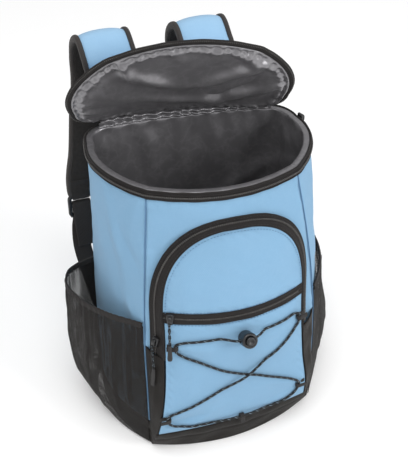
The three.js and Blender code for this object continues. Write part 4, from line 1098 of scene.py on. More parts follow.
def buildSeamThreads():
    # Dark seam lines down both front seams, and stitches along the zips
    blueThread, blackThread = ("threadBlue", "blue_cloth"), ("threadBlack", "black_cloth")
    for label, column in (("right", seamColumn), ("left", 2 * (sum(ringSteps.values()) - 2) - seamColumn)):
        heights = np.linspace(body["bootHeight"] + 3, body["height"] - 9, 160)
        points, _ = bodyRing(heights, np.zeros(160))
        line = points[:, column] + (0, 0.35, 0)
        addGrid(f"seam_line_{label}", carried(line, (0.0, -1.0, 0.0), ringProfile(0.75, 0.6, 8)),
                blueThread, around=True, capped=True)
    top, bottom = pocket["midHeight"] + pocket["midTape"] / 2, pocket["midHeight"] - pocket["midTape"] / 2
    for name, height in (("upper", top + 2.2), ("lower", bottom - 2.4)):
        x = np.linspace(-82, 72, 240)
        line = np.stack([x, -faceDepth(x, height) - 0.9, np.full(240, height)], -1)
        stitches(f"mid_zip_stitches_{name}", line, (0, -1, 0), blueThread)
    x, z = archPoint(np.linspace(0.13, 0.87, 500), -3.4)
    line = np.stack([x, -faceDepth(x, z) - 1.5, z], -1)
    stitches("arch_zip_stitches", line, (0, -1, 0), blueThread)
    for name, place in (("inner", 0.86), ("outer", 0.1)):
        line = archPlace(np.full(500, place), np.linspace(0.004, 0.996, 500), 0.75)
        stitches(f"arch_tape_stitches_{name}", line, (0, -1, 0), blackThread)


buildSeamThreads()
print("front pocket")

# Rim zip, lid and hinge
rimZip = {"tape": 9, "coilUp": 0.42}


def buildRimZip():
    # A tape round the rim except at the hinge, with its coil along its middle.
    top = body["height"] + body["lining"] + 0.4
    up = np.linspace(0, 1, 16)
    heights = top - rimZip["tape"] * (1 - up)
    points, inward = bodyRing(heights, np.full(16, -2.4))
    first = ringSteps["back"] + 2
    last = points.shape[1] - first + 1
    across = np.linspace(0, 1, 16)[:, None]
    points, inward = points[:, first:last], inward[:, first:last]
    column = np.arange(points.shape[1])[None, :]
    roll = tapeProfile(across, 0.45, 0.7) - 0.9 + 0.25 * np.sin(column / 1.9)
    points = points - inward * roll[..., None]
    addGrid("rim_zip_tape", points, zipLook, ["rim_zip"], wall=2.0,
            outward=lambda at: at * (1, 1, 0) + (0, 80, 0))
    middle, _ = bodyRing([top - 5.2], [-2.6])
    route = evenRoute(middle[0, first:last][::3], 1.0)
    out = unit(route * (1, 1, 0) + np.array((0, 80, 0)))
    addGrid("rim_zip_coil", coil(route, out, 3.2, 1.9), coilLook, around=True, capped=True)


buildRimZip()

lid = {
    "lean": 24.6, "turn": 9.96, "bow": 12, "wall": 4.2, "tape": 6, "rise": 5, "across": -8.3, "back": 2.5,
    "hingeHalf": 106, "overhang": 3.5,
}
lidTurn, lidLean = math.radians(lid["turn"]), math.radians(lid["lean"])
lidAcross = np.array((math.cos(lidTurn), -math.sin(lidTurn), 0))
lidRise = np.array((-math.sin(lidTurn) * math.sin(lidLean), -math.cos(lidTurn) * math.sin(lidLean),
                    math.cos(lidLean)))
lidOut = np.cross(lidRise, lidAcross)
rimSize = {key: float(value) for key, value in bodySection(body["height"]).items()}
lidDepth = rimSize["depth"] + rimSize["bow"]


def lidPoint(across, rise, out):
    # A place on the lid: across, up its face and out of it. A parabola bows it, less so towards its tip.
    bow = lid["bow"] * (1 - (across / body["backHalf"]) ** 2) * (1 - 0.6 * rise / lidDepth)
    start = np.array((lid["across"], lid["back"], body["height"]))
    return start + across[..., None] * lidAcross + rise[..., None] * lidRise + (bow + out)[...,
        None] * lidOut


def lidOutline(margin):
    # The rim's own outline as across and rise, from the right end of the hinge round to the left.
    height = np.array([[body["height"]]], float)
    across, depth = halfOutline(bodySection(height), height)
    start = ringSteps["back"]
    across, depth = across[0, start:], depth[0, start:]
    half = across * (1 + (lid["overhang"] - margin) / body["backHalf"])
    rise = lid["rise"] + (lidDepth - margin - lid["rise"]) * depth / lidDepth
    return np.concatenate([half, -half[-2::-1]]), np.concatenate([rise, rise[-2::-1]])


def lidLoop(margin, count=300):
    # The whole edge of a lid layer at even steps, closed along the hinge.
    x, rise = lidOutline(margin)
    hinge = np.linspace(x[-1], x[0], 60)[1:-1]
    line = np.stack([np.concatenate([x, hinge]), np.concatenate([rise, np.full(58, rise[0])])], 1)
    line = np.concatenate([line, line[:1]])
    length = np.concatenate([[0], np.cumsum(np.linalg.norm(np.diff(line, axis=0), axis=1))])
    at = np.linspace(0, length[-1], count, endpoint=False)
    return np.interp(at, length, line[:, 0]), np.interp(at, length, line[:, 1]), at


# Folds of the lid's lining: across and rise, from and to, wide, high
lidFolds = [
    (-74, 130, -58, 96, 6, 4.5), (-58, 98, 10, 62, 9, 5.0), (-4, 70, 44, 40, 8, -3.5),
    (20, 62, 92, 100, 13, 5.5),
    (44, 44, 84, 74, 10, -3.5), (-100, 60, -20, 40, 12, 3.0), (-30, 46, 40, 24, 7, 3.5),
    (50, 28, 104, 52, 9, 4.0),
    (60, 124, 96, 96, 7, 3.0), (84, 110, 102, 82, 5, -2.0), (-20, 140, 6, 112, 9, 2.4),
    (30, 150, 40, 120, 8, 2.0),
    (-96, 96, -80, 70, 8, 2.5), (-112, 40, -92, 28, 6, 3.5), (-120, 56, -100, 48, 5, 2.5),
    (96, 36, 112, 54, 5, 2.5),
]


def lidLayer(name, node, margin, low, high, look, wrinkled, gather):
    # A pillow: from the middle of the inner face out to the edge, round it and back over the outer face.
    edgeX, edgeRise, at = lidLoop(margin)
    inner = np.linspace(0, 1, 46)[1:] ** 0.9
    middle = np.array((0.0, 62.0))
    rows = np.concatenate([inner, [1.0, 1.0], inner[::-1]])[:, None]
    out = np.concatenate([np.zeros(45), [0.25, 0.75], np.ones(45)])[:, None]
    x = middle[0] + (edgeX - middle[0]) * rows
    rise = middle[1] + (edgeRise - middle[1]) * rows
    reach = np.hypot(edgeX - middle[0], edgeRise - middle[1])[None, :]
    away = reach * (1 - rows)
    lift = low + (high - low) * out
    round_ = 1 - np.clip(away / 3.0, 0, 1)
    lift = lift + (0.5 - out) * (high - low) * 0.5 * round_**2
    flat = np.stack([x, rise, 0 * x], -1)
    if wrinkled:
        turnAt = at[None, :] + 0 * x
        wave = np.sin(turnAt / 1.9 + 1.8 * np.sin(turnAt / 13)) + 0.6 * np.sin(turnAt / 3.3 + 1.0)
        puck = gather * wave * bell(away - 7, 5.0)
        groove = -2.2 * bell(away - 5.5, 1.3) + 1.6 * bell(away - 10.5, 3.5)
        inside = (1 - out) * np.clip(away / 4, 0, 1)
        far = np.clip(away / 14, 0, 1)
        soft = 1.6 * clothWave(flat * (1, 1.4, 1), 1.3) + 1.5 * folds(lidFolds, x, rise)
        lift = lift - inside * (puck + groove + far * (soft + 1.5))
    else:
        outer = out * np.clip(away / 8, 0, 1)
        lift = lift + outer * (1.2 * clothWave(flat) + 3.0 * (1 - (1 - np.clip(away / 40, 0, 1)) ** 2))
    points = lidPoint(x, rise, lift)
    return addGrid(name, points, look, [node], around=True, capped=True)


def buildLid():
    # The lid's lining and padded shell, and the zip round them.
    lining = body["lining"]
    margin = lid["tape"] - 0.5
    lidLayer("lid_lining_film", "lid_lining", margin, -0.4, lining - 0.2, ("liningFilm", "grey_lining"),
             True, 1.5)
    shell = lidLayer("lid_pad", "lid_shell", margin, lining + 0.4, lining + 0.4 + lid["wall"],
                     ("blueCloth", "blue_cloth"),
                     False, 0)
    # The zip tape round the edge, from one end of the hinge to the other
    across = np.linspace(0, 1, 18)[:, None]
    lines = [lidOutline(lid["tape"] * (1 - share)) for share in across[:, 0]]
    x, rise = np.stack([line[0] for line in lines]), np.stack([line[1] for line in lines])
    column = np.arange(x.shape[1])[None, :]
    points = lidPoint(x, rise, 3.6 + tapeProfile(across, 0.5, 0.8) - 0.4 + 0.2 * np.sin(column / 2.3))
    addGrid("lid_zip_tape", points, zipLook, ["lid_zip"], wall=2.2, outward=lidOut, even=False)
    x, rise = lidOutline(0.4)
    route = evenRoute(lidPoint(x, rise, np.full(len(x), 2.2))[::3], 1.0)
    out = unit(route - lidPoint(np.array([0.0]), np.array([70.0]), np.array([2.2])))
    addGrid("lid_zip_coil", coil(route, out, 3.2, 1.9), coilLook, around=True, capped=True)


buildLid()


def buildHinge():
    # Two puckered rolls of lining film side by side, from the back wall's top to the lid's lower edge.
    along = np.linspace(-1, 1, 330)[:, None]
    turn = np.linspace(0, 1, 40)[None, :]
    across = lid["hingeHalf"] * along + 0 * turn
    height = body["height"] + body["lining"] + 0.8
    foot = np.stack([across, -4.5 + settle(across, 0 * across, height), height - 3 + 0 * across], -1)
    top = lidPoint(across * 0.97 - lid["across"], 0 * across + lid["rise"] + 2.5, 0 * across - 0.5)
    base = foot + (top - foot) * turn[..., None]
    wave = np.sin(across / 2.2 + 1.7 * np.sin(across / 12)) + 0.5 * np.sin(across / 4.7 + 2.2 + turn * 3)
    rolls = 3.4 * np.abs(np.sin(turn * 2 * pi)) ** 0.7
    puffed = rolls * (1 + 0.28 * wave) + 0.35 * wave
    slack = 1.5 * np.sin(across / 31 + 1) * np.sin(turn * pi)
    points = base + np.stack([0 * across, -(puffed + slack), 0.25 * puffed], -1)
    addGrid("hinge_welt", points, ("liningFilm", "grey_lining"), ["lid_hinge"], wall=1.2,
            outward=(0, -1, 0.3))


buildHinge()
print("rim, lid and hinge")

# Mesh side pockets with their elastic bands
sidePocket = {"height": 195, "hem": 8, "wall": 0.8, "band": 2.4, "left": 39, "right": 19}
bulgeAlong = {
    "at": (0.0, 0.12, 0.25, 0.4, 0.55, 0.72, 0.84, 0.93, 1.0),
    "out": (0.0, 0.16, 0.38, 0.62, 0.84, 1.0, 0.88, 0.5, 0.0),
}
bulgeUp = {
    "at": (0.0, 0.08, 0.2, 0.36, 0.55, 0.8, 1.0),
    "left": (0.12, 0.36, 0.62, 0.9, 1.0, 1.0, 0.97),
    "right": (0.05, 0.55, 1.0, 1.25, 1.0, 0.7, 0.5),
}
pocketPleats = {
    "left": [(0.12, 185, 0.16, 60, 0.02, 2.2), (0.24, 186, 0.27, 40, 0.02, 2.6),
             (0.36, 184, 0.35, 90, 0.02, -2.0),
             (0.47, 186, 0.5, 50, 0.022, 2.6), (0.6, 184, 0.58, 80, 0.02, -2.0),
             (0.7, 186, 0.68, 60, 0.02, 2.2),
             (0.8, 180, 0.82, 60, 0.02, 1.8)],
    "right": [(0.2, 186, 0.22, 60, 0.02, 2.0), (0.45, 184, 0.47, 60, 0.02, 2.0),
              (0.7, 186, 0.68, 70, 0.02, 1.8)],
}


def pocketSurface(sign, share, height, out):
    # The body's side wall, pushed out by the pocket's bulge along it and up it.
    column, bulge = ("left", sidePocket["left"]) if sign < 0 else ("right", sidePocket["right"])
    cut = bodySection(height)
    along = 0.99 * (1 - share)
    half, depth = sidePoint(cut, along)
    nearHalf, nearDepth = sidePoint(cut, along - 0.01)
    way = unit(np.stack([half - nearHalf, depth - nearDepth], -1))
    swell = tableAt(bulgeAlong, "at", "out", share) * tableAt(bulgeUp, "at", column,
        height / sidePocket["height"])
    push = 0.8 + bulge * swell + out
    x = half + way[..., 1] * push
    y = -(depth - way[..., 0] * push) + settle(half * sign, depth, height)
    return np.stack([sign * x, y, height + 0 * x], -1)


def buildSidePockets():
    # Each pocket's mesh, gathered and pleated under its hem, and the hem's band.
    hem = sidePocket["height"] - sidePocket["hem"]
    for label, sign in (("left", -1), ("right", 1)):
        share = np.linspace(0, 1, 170)[None, :]
        height = np.linspace(4, hem + 1, 90)[:, None] + 0 * share
        share = share + 0 * height
        fixed = np.clip(share * 18, 0, 1) * np.clip((1 - share) * 14, 0, 1) * np.clip((height - 4) / 16, 0,
            1)
        gather = 0.9 * np.sin(share * 130 + 2 * np.sin(share * 17)) * np.exp(-((hem - height) / 26))
        pleats = folds([(u * 200, v, s * 200, t, w * 200, h) for u, v, s, t, w, h in pocketPleats[label]],
                       share * 200, height)
        pinch = folds([(60, 62, 84, 30, 5, 3.5), (88, 44, 110, 22, 5, -2.5)], share * 200,
                      height) if sign < 0 else 0
        flat = pocketSurface(sign, share, height, 0)
        lift = fixed * (gather + pleats + pinch + 1.2 * clothWave(flat))
        points = pocketSurface(sign, share, height, np.maximum(lift, -0.5 * fixed * 20 * share))
        mesh = addGrid(f"mesh_pocket_cloth_{label}", points, ("knitMesh", "black_mesh"),
                       [f"mesh_pocket_{label}"],
                       wall=sidePocket["wall"], side=0, outward=(sign, -0.2, 0))
        share = np.linspace(0, 1, 220)[None, :]
        up = np.linspace(0, 1, 12)[:, None]
        height = hem + sidePocket["hem"] * up + 0 * share
        share = share + 0 * up
        gather = 0.45 * np.sin(share * 150 + 2 * np.sin(share * 21))
        roll = 0.9 * np.sin(up * pi) ** 0.5 + gather * np.sin(up * pi)
        band = addGrid(f"pocket_hem_{label}", pocketSurface(sign, share, height,
                                                            sidePocket["band"] / 2 + roll),
                       ("bandCloth", "edge_binding"), [f"pocket_band_{label}"], wall=sidePocket["band"],
                       outward=(sign, -0.2, 0))


buildSidePockets()
print("side pockets")

# Shoulder straps, ladder locks and webbing
strap = {
    "wide": 65, "pad": 4, "crown": 2.5, "inner": 3, "binding": 6, "bindingWall": 4.6, "loop": 88,
    "webWide": 23, "webWall": 1.5, "webTail": 62, "lockWide": 34, "lockHigh": 36, "lockWall": 5,
    "lockBar": 6,
}
strapRows = {
    "left": np.array([
        (-0.46, 0.309, 0.935, 1.0, 0.33), (-0.475, 0.318, 0.99, 1.0, 0.33), (-0.52, 0.43, 1.07, 1.0, 0.2),
        (-0.565, 0.36, 1.165, 1.0, 0.0), (-0.6, 0.36, 1.24, 1.0, 0.0), (-0.615, 0.59, 1.286, 1.0, 0.0),
        (-0.622, 0.87, 1.24, 1.0, 0.0), (-0.622, 1.0, 1.16, 1.0, 0.0), (-0.645, 0.96, 1.06, 0.95, 0.0),
        (-0.735, 0.76, 0.955, 0.86, 0.0), (-0.825, 0.58, 0.85, 0.72, 0.0), (-0.91, 0.5, 0.765, 0.58, 0.0),
        (-0.93, 0.48, 0.725, 0.52, 0.0), (-0.93, 0.48, 0.7, 0.5, 0.0),
    ]),
    "right": np.array([
        (0.4, 0.168, 0.935, 1.0, 1.6), (0.385, 0.172, 0.99, 1.0, 1.6), (0.34, 0.29, 1.07, 1.0, 1.0),
        (0.28, 0.22, 1.165, 1.0, 0.5), (0.24, 0.25, 1.24, 1.0, 0.0), (0.23, 0.51, 1.286, 1.0, 0.0),
        (0.23, 0.8, 1.24, 1.0, 0.0), (0.25, 0.96, 1.16, 1.0, 0.0), (0.31, 0.95, 1.06, 0.95, 0.0),
        (0.41, 0.76, 0.955, 0.86, 0.0), (0.53, 0.58, 0.85, 0.72, 0.0), (0.65, 0.5, 0.765, 0.58, 0.0),
        (0.67, 0.48, 0.725, 0.52, 0.0), (0.67, 0.48, 0.7, 0.5, 0.0),
    ]),
}
strapShares = np.array((body["backHalf"], strap["loop"], body["height"]))
webRows = np.array([
    (0.02, 0.525, 0.54), (0.03, 0.45, 0.47), (-0.01, 0.32, 0.36), (-0.09, 0.15, 0.2), (-0.16, 0.038, 0.11),
    (-0.185, 0.0205, 0.05),
])


def besideStrap(route, turn, aside, outward):
    # Points beside the strap's route: aside along its level width, outward away from the wearer's side.
    way = unit(np.gradient(route, axis=0))
    level = np.stack([np.cos(turn), -np.sin(turn), 0 * turn], -1)
    side = unit(level - way * (way * level).sum(-1, keepdims=True))
    normal = np.cross(way, side)
    return route[:, None] + side[:, None] * aside[..., None] - normal[:, None] * outward[..., None]


def buildStrap(label):
    # A cushioned strap with its mesh underside and two bound edges, along its rows. Gives its end.
    rows = strapRows[label]
    count = 240
    route = routeThrough(rows[:, :3] * strapShares, count)
    at = np.linspace(0, len(rows) - 1, count)
    half = strap["wide"] / 2 * np.interp(at, np.arange(len(rows)), rows[:, 3])[:, None]
    turn = np.radians(body["turn"] * np.interp(at, np.arange(len(rows)), rows[:, 4]))
    along = np.concatenate([[0], np.cumsum(np.linalg.norm(np.diff(route, axis=0), axis=1))])[:, None]
    padHalf = half - strap["binding"] + 1.5
    section = ringProfile(1.0, 1.0, 48, 3.2)[None]
    across, rise = section[..., 0], section[..., 1]
    crown = strap["crown"] * (1 - across**2)
    buckle = 0.5 * np.sin(along / 9 + 1.3 * np.sin(along / 37)) + 0.4 * np.sin(along / 23 + 2.0)
    outward = np.where(rise > 0, rise * (strap["pad"] + crown), rise * strap["inner"])
    outward = outward + np.where(rise > 0.2, 0.35 * buckle * (1 - across**2), 0)
    # The pad takes the lighter blue, a painted light from above on the straps
    pad = addGrid(f"strap_pad_{label}", besideStrap(route, turn, padHalf * across, outward),
                  ("strapClothPaintedLight", "blue_cloth"),
                  [f"shoulder_strap_{label}"], around=True, capped=True)
    flat = np.linspace(-1, 1, 30)[None, :]
    under = -(strap["inner"] + 1.0 + 0.9 * (1 - flat**2) ** 0.5) + 0 * along
    addGrid(f"strap_lining_{label}", besideStrap(route, turn, padHalf * flat, under),
            ("spacerMesh", "black_mesh"),
            [f"strap_mesh_{label}"], wall=1.2, outward=lambda p: unit(np.array((0, 140, 400)) - p) * (0, 1,
                1))
    for name, sign in (("outer", -1), ("inner", 1)):
        ring = ringProfile(strap["binding"] / 2, strap["bindingWall"], 20, 3.0)
        middle = sign * (half - strap["binding"] / 2)
        ripple = 0.25 * np.sin(along / 2.1 + 1.3 * np.sin(along / 15))
        aside = middle + ring[None, :, 0] + 0 * along
        outAt = ring[None, :, 1] * (1 + 0.05 * ripple) + 0.2
        addGrid(f"strap_tape_{label}_{name}", besideStrap(route, turn, aside, outAt),
                ("bindingTape", "edge_binding"),
                [f"strap_binding_{label}_{name}"], around=True, capped=True)
    return route[-1]


def placed(points, origin, axes=np.eye(3)):
    # Points turned to the given axes and moved to an origin.
    return np.asarray(origin) + points @ np.asarray(axes)


def loopOf(corners, corner, count=10):
    # A closed route round corners in a plane, each rounded by an arc of the given radius.
    corners = np.array(corners, float)
    before, after = np.roll(corners, 1, 0), np.roll(corners, -1, 0)
    start = corners + unit(before - corners) * corner
    end = corners + unit(after - corners) * corner
    t = np.linspace(0, 1, count)[None, :, None]
    arcs = (1 - t) ** 2 * start[:, None] + 2 * t * (1 - t) * corners[:, None] + t**2 * end[:, None]
    return arcs.reshape(-1, 3)


def closedTube(route, up, profile):
    # A profile carried round a closed route.
    way = unit(np.roll(route, -1, 0) - np.roll(route, 1, 0))
    side = unit(np.cross(way, np.broadcast_to(up, route.shape)))
    over = np.cross(side, way)
    return route[:, None] + side[:, None] * profile[None, :, :1] + over[:, None] * profile[None, :, 1:2]


def joinPieces(name, pieces, nodes=(), rider="pack"):
    # Several grids of one moulding become one piece.
    bpy.ops.object.select_all(action="DESELECT")
    for piece in pieces:
        piece.select_set(True)
    bpy.context.view_layer.objects.active = pieces[0]
    bpy.ops.object.join()
    pieces[0].name = name
    if nodes:
        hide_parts(*nodes)
    return pieces[0]


plasticLook = ("glossPlastic", "black_plastic")


def buildLadderLock(label, middle):
    # A rounded frame with two bars and a ridge.
    wide, high, wall, bar = strap["lockWide"], strap["lockHigh"], strap["lockWall"], strap["lockBar"]
    x, z = wide / 2 - 2.2, high / 2 - bar / 2
    frameLine = loopOf([(-x, 0, -z), (x, 0, -z), (x, 0, z), (-x, 0, z)], 5.5)
    parts = [addGrid("lock_part",
                     placed(closedTube(frameLine, (0, 1, 0), ringProfile(bar / 2 - 0.4, wall / 2, 14, 3)),
                            middle),
                     plasticLook, around=True, along=True)]
    barAt = np.linspace(-x, x, 16)
    for height, size in ((0.0, 0.95), (-z + 0.5, 1.0)):
        curve = np.stack([barAt, 1.2 * (1 - (barAt / x) ** 2) * (height < 0), np.full(16, height)], 1)
        ring = ringProfile(bar / 2 * size, wall / 2 * size, 12, 2.6)
        parts.append(addGrid("lock_part", placed(carried(curve, (0, 1, 0), ring), middle), plasticLook,
                             around=True, capped=True))
    ridge = np.stack([np.linspace(-x + 3, x - 3, 30), np.full(30, -1.8), np.full(30, 1.2)], 1)
    parts.append(addGrid("lock_part", placed(carried(ridge, (0, 1, 0), ringProfile(0.8, 0.9, 8)), middle),
                         plasticLook,
                         around=True, capped=True))
    return joinPieces(f"ladder_lock_frame_{label}", parts, [f"ladder_lock_{label}"])


def buildWebbing(label, sign, middle):
    # Webbing from its foot on the body through the lock to its tail.
    clear = strap["lockWall"] / 2 + strap["webWall"] / 2 + 0.4
    rows = webRows[::-1]
    points = [(middle[0] + sign * a * body["backHalf"], b * strap["loop"], u * body["height"]) for a, b,
              u in rows]
    points.append(middle + (0, clear, -strap["lockHigh"] / 2))
    for turn in np.linspace(0, pi, 5):
        points.append(middle + (0, clear * math.cos(turn), strap["lockBar"] / 2 + clear * math.sin(turn)))
    points.append(middle + (0, -clear, -strap["lockHigh"] / 2))
    points.append(middle + (-sign * 2, -clear - 2, -strap["webTail"]))
    route = evenRoute(points, 2.0)
    profile = ringProfile(strap["webWide"] / 2, strap["webWall"] / 2 + 0.1, 26, 5.0)
    way = unit(np.gradient(route, axis=0))
    level = np.broadcast_to((1.0, 0.0, 0.0), route.shape)
    side = unit(level - way * way[:, :1])
    over = np.cross(side, way)
    web = route[:, None] + side[:, None] * profile[None, :, :1] + over[:, None] * profile[None, :, 1:2]
    addGrid(f"web_strap_{label}", web, ("webbingTape", "black_webbing"), [f"webbing_{label}"], around=True,
            capped=True)
    # The fold of webbing that ties the lock's top bar to the strap's end
    top = middle[2] + strap["lockHigh"] / 2 - strap["lockBar"] / 2
    loop = [(middle[0], middle[1] + 3.4, top + 26), (middle[0], middle[1] + 3.6, top + 8)]
    loop += [(middle[0], middle[1] - 4.2 * math.sin(t),
              top + 4.2 * math.cos(t)) for t in np.linspace(-pi / 2, -1.5 * pi, 9)]
    loop += [(middle[0], middle[1] - 3.6, top + 8), (middle[0], middle[1] - 3.4, top + 26)]
    line = evenRoute(loop, 1.5)
    way = unit(np.gradient(line, axis=0))
    side = np.broadcast_to((1.0, 0.0, 0.0), line.shape)
    over = np.cross(side, way)
    tie = line[:, None] + side[:, None] * profile[None, :, :1] * 0.95 + over[:, None] * profile[None, :,
        1:2]
    addGrid(f"lock_tie_{label}", tie, ("webbingTape", "black_webbing"), around=True, capped=True)


def buildCarrying():
    # Strap, lock and webbing of each side.
    for label, sign in (("left", -1), ("right", 1)):
        end = buildStrap(label)
        middle = end + (0, 0, -strap["lockHigh"] / 2 - 0.8)
        buildLadderLock(label, middle)
        buildWebbing(label, sign, middle)


buildCarrying()
print("straps")

# Lacing over the lower panel: its cord, tabs and lock
lacing = {
    "radius": 1.55, "stand": 2.5, "tabWide": 6, "tabLong": 8, "tabWall": 1.2, "barrel": 9.5,
    "barrelLong": 20,
    "tilt": 25, "cross": 2.8, "buttonWide": 5.4, "buttonOut": 3, "bore": 6,
}
# Across, up and lift off the panel of each point that the cord passes, given as in the solid
cordRoute = np.array([
    (2.5, 190, 10.5), (12, 190, 9.8), (28, 190, 1), (52, 190, 0), (65, 191, 1), (73, 187, 1.5),
    (73, 178, 1.5),
    (66, 170, 1), (47, 155, 0), (24, 139, 2), (2, 124, 4.4), (-24, 110, 2), (-54, 96, 0), (-83, 84, 1),
    (-95, 79, 1.5),
    (-95, 70, 1.5), (-88, 61, 1), (-76, 55, 0), (-44, 50, 0), (-12, 48.5, 1.5), (0, 48.5, 1.5),
    (12, 48.5, 1.5), (40, 50, 0),
    (60, 54, 0), (71, 63, 1), (75, 72, 1.5), (75, 81, 1.5), (67, 89, 1), (46, 101, 0), (24, 113, 0),
    (2, 124, 0),
    (-24, 138, 0), (-52, 156, 0), (-72, 168, 1), (-79, 175, 1.5), (-79, 184, 1.5), (-72, 187.5, 1),
    (-52, 188.5, 0),
    (-28, 189.5, 1), (-12, 190, 9.8), (-2.5, 190, 10.5),
])
tabPlaces = {
    "left_upper": (-79, 179.5, 0), "left_lower": (-95, 74.5, 0), "right_upper": (73, 182.5, pi),
    "right_lower": (75, 76.5, pi), "bottom": (0, 48.5, pi / 2),
}


def facePoint(across, height):
    # A place on the pocket's face.
    return np.stack([across, -faceDepth(across, height), height + 0 * across], -1)


def wayOut(surface, u, v, step, outward):
    # The normal of a surface given by two values, from the differences to both sides.
    first = surface(u + step[0], v) - surface(u - step[0], v)
    second = surface(u, v + step[1]) - surface(u, v - step[1])
    out = unit(np.cross(first, second))
    return np.where((out * outward).sum(-1, keepdims=True) < 0, -out, out)


def seatOn(surface, u, v, step, outward, lift):
    # A place on a surface: its origin, and its three axes aside, up the surface and out of it.
    u, v = np.array(float(u)), np.array(float(v))
    out = wayOut(surface, u, v, step, np.array(outward, float))
    upright = unit(np.array((0, 0, 1.0)) - out * out[2])
    return surface(u, v) + out * lift, np.stack([np.cross(upright, out), upright, out])


def onFace(across, height, lift):
    # A place lifted off the pocket's face, with its axes.
    return seatOn(facePoint, across, height, (2, 2), (0, -1, 0), lift)


def buildCord():
    # The cord along its route, pushed out where the puffed panel would bury it.
    across, height, lift = cordRoute.T
    out = wayOut(facePoint, across, height, (2, 2), np.array((0, -1.0, 0)))
    points = facePoint(across, height) + out * (lacing["stand"] + lift)[:, None]
    route = routeThrough(points, 1000)
    low, high = body["bootHeight"] + 0.4, pocket["midHeight"] - pocket["midTape"] / 2
    x, z = route[:, 0], route[:, 2]
    side = np.clip(np.abs(x - pocketSection(z)["middleX"]) / (archHalf(z, 0) - 2.4), 0, 1)
    surface, puffed = panelLift("lower", x, z, side, np.clip((z - low) / (high - low), 0, 1), high - low)
    buried = surface[:, 1] - puffed - lacing["radius"] * 1.35 - route[:, 1]
    route[:, 1] += np.minimum(0, buried)
    ups = np.broadcast_to((0.0, -1.0, 0.0), route.shape)
    line = carried(route, ups, ringProfile(lacing["radius"], lacing["radius"], 12))
    return addGrid("lacing_cord", line, ("braidedElastic", "elastic"), ["elastic_cord"], around=True,
                   capped=True)


def buildTabs():
    # Loops of webbing: a half circle round the cord, with two legs back to the panel's edge.
    inside, wall = lacing["stand"], lacing["tabWall"]
    middle = inside + wall / 2
    turn = np.linspace(-pi / 2, pi / 2, 16)
    curve = np.concatenate([[(-lacing["tabLong"] - 2, -middle)],
                            np.stack([middle * np.cos(turn), middle * np.sin(turn)], 1),
                            [(-lacing["tabLong"] - 2, middle)]])
    for name, (across, height, spin) in tabPlaces.items():
        origin, axes = onFace(across, height, lacing["stand"] + 1.5)
        path = evenRoute(np.stack([curve[:, 0], 0 * curve[:, 0], curve[:, 1]], 1), 0.7)
        cosine, sine = math.cos(spin), math.sin(spin)
        spun = np.array([(cosine, sine, 0), (-sine, cosine, 0), (0, 0, 1)])
        way = unit(np.gradient(path, axis=0))
        side = np.broadcast_to((0.0, 1.0, 0.0), path.shape)
        over = np.cross(side, way)
        ring = ringProfile(lacing["tabWide"] / 2, wall / 2, 18, 4.0)
        tab = path[:, None] + side[:, None] * ring[None, :, :1] + over[:, None] * ring[None, :, 1:2]
        addGrid(f"tab_{name}", placed(tab @ spun, origin, axes), ("webbingTape", "black_webbing"),
                [f"cord_tab_{name}"],
                around=True, capped=True)


def lathe(radii, heights, count=56, flutes=0, deep=0.0):
    # A turned form about the third axis, whose radius may be fluted round it.
    turn = np.linspace(0, 2 * pi, count, endpoint=False)[None, :]
    radii, heights = np.array(radii, float)[:, None], np.array(heights, float)[:, None]
    grooves = 1 - deep * (0.5 + 0.5 * np.cos(flutes * turn)) ** 3 if flutes else 1 + 0 * turn
    radius = radii * grooves
    return np.stack([radius * np.cos(turn), radius * np.sin(turn), heights + 0 * radius], -1)


def buildCordLock():
    # A fluted barrel, bored across for the cord, with the button in its mouth.
    origin, axes = onFace(0, 190, lacing["stand"] + 10.5)
    tilt = -math.radians(lacing["tilt"])
    lean = np.array([(1, 0, 0), (0, math.cos(tilt), math.sin(tilt)), (0, -math.sin(tilt), math.cos(tilt))])
    axes = lean @ axes
    r, half = lacing["barrel"], lacing["barrelLong"] / 2
    mouth = lacing["buttonWide"] + 0.4
    radii = [r - 2.2, r - 0.8, r - 0.15, r, r, r - 0.15, r - 0.8, r - 2.0, mouth + 0.9, mouth + 0.2, mouth,
             mouth]
    heights = [-half, -half + 0.5, -half + 1.6, -half + 3.2, half - 3.2, half - 1.6, half - 0.5, half, half,
               half - 0.3,
               half - 1.0, half - lacing["bore"]]
    barrel = addGrid("lock_barrel", placed(lathe(radii, heights, 72, 24, 0.035), origin, axes), plasticLook,
                     around=True,
                     capped=True)
    hole = placed(lathe([lacing["cross"]] * 2, [-3 * r, 3 * r],
                        28) @ np.array([(0, 0, -1), (0, 1, 0), (1, 0, 0)]), origin, axes)
    cutter = addGrid("lock_hole", hole, plasticLook, around=True, capped=True)
    cut = barrel.modifiers.new("hole", "BOOLEAN")
    cut.operation = "DIFFERENCE"
    cut.solver = "EXACT"
    cut.object = cutter
    bpy.context.view_layer.objects.active = barrel
    bpy.ops.object.modifier_apply(modifier="hole")
    bpy.data.objects.remove(cutter)
    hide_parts("cord_lock")
    low, high = half - lacing["bore"] + 2.9, half + lacing["buttonOut"]
    b = lacing["buttonWide"]
    knob = lathe([b - 0.6, b, b, b - 0.3, b - 1.2, b - 2.4, b - 2.9, 1.2],
                 [low, low + 0.5, high - 1.4, high - 0.5, high, high,
                                                                        high - 0.4, high - 0.7], 48)
    addGrid("lock_button", placed(knob, origin, axes), plasticLook, ["cord_lock_button"], around=True,
            capped=True, rider="button")


buildCord()
buildTabs()
buildCordLock()
print("lacing")

# Zip sliders, their links and their pulls
slider = {"wide": 9, "long": 13, "wall": 4, "pullWide": 7, "pullLong": 27, "pullWall": 2.4, "link": 1.1}


def slab(stations, count=28, square=3.4):
    # A moulded bar along its second axis: at each station its place, half width, half wall and height.
    ring = ringProfile(1.0, 1.0, count, square)
    rows = np.array(stations, float)
    x = rows[:, 1:2] * ring[None, :, 0]
    z = rows[:, 2:3] * ring[None, :, 1] + rows[:, 3:4]
    return np.stack([x, rows[:, :1] + 0 * x, z], -1)


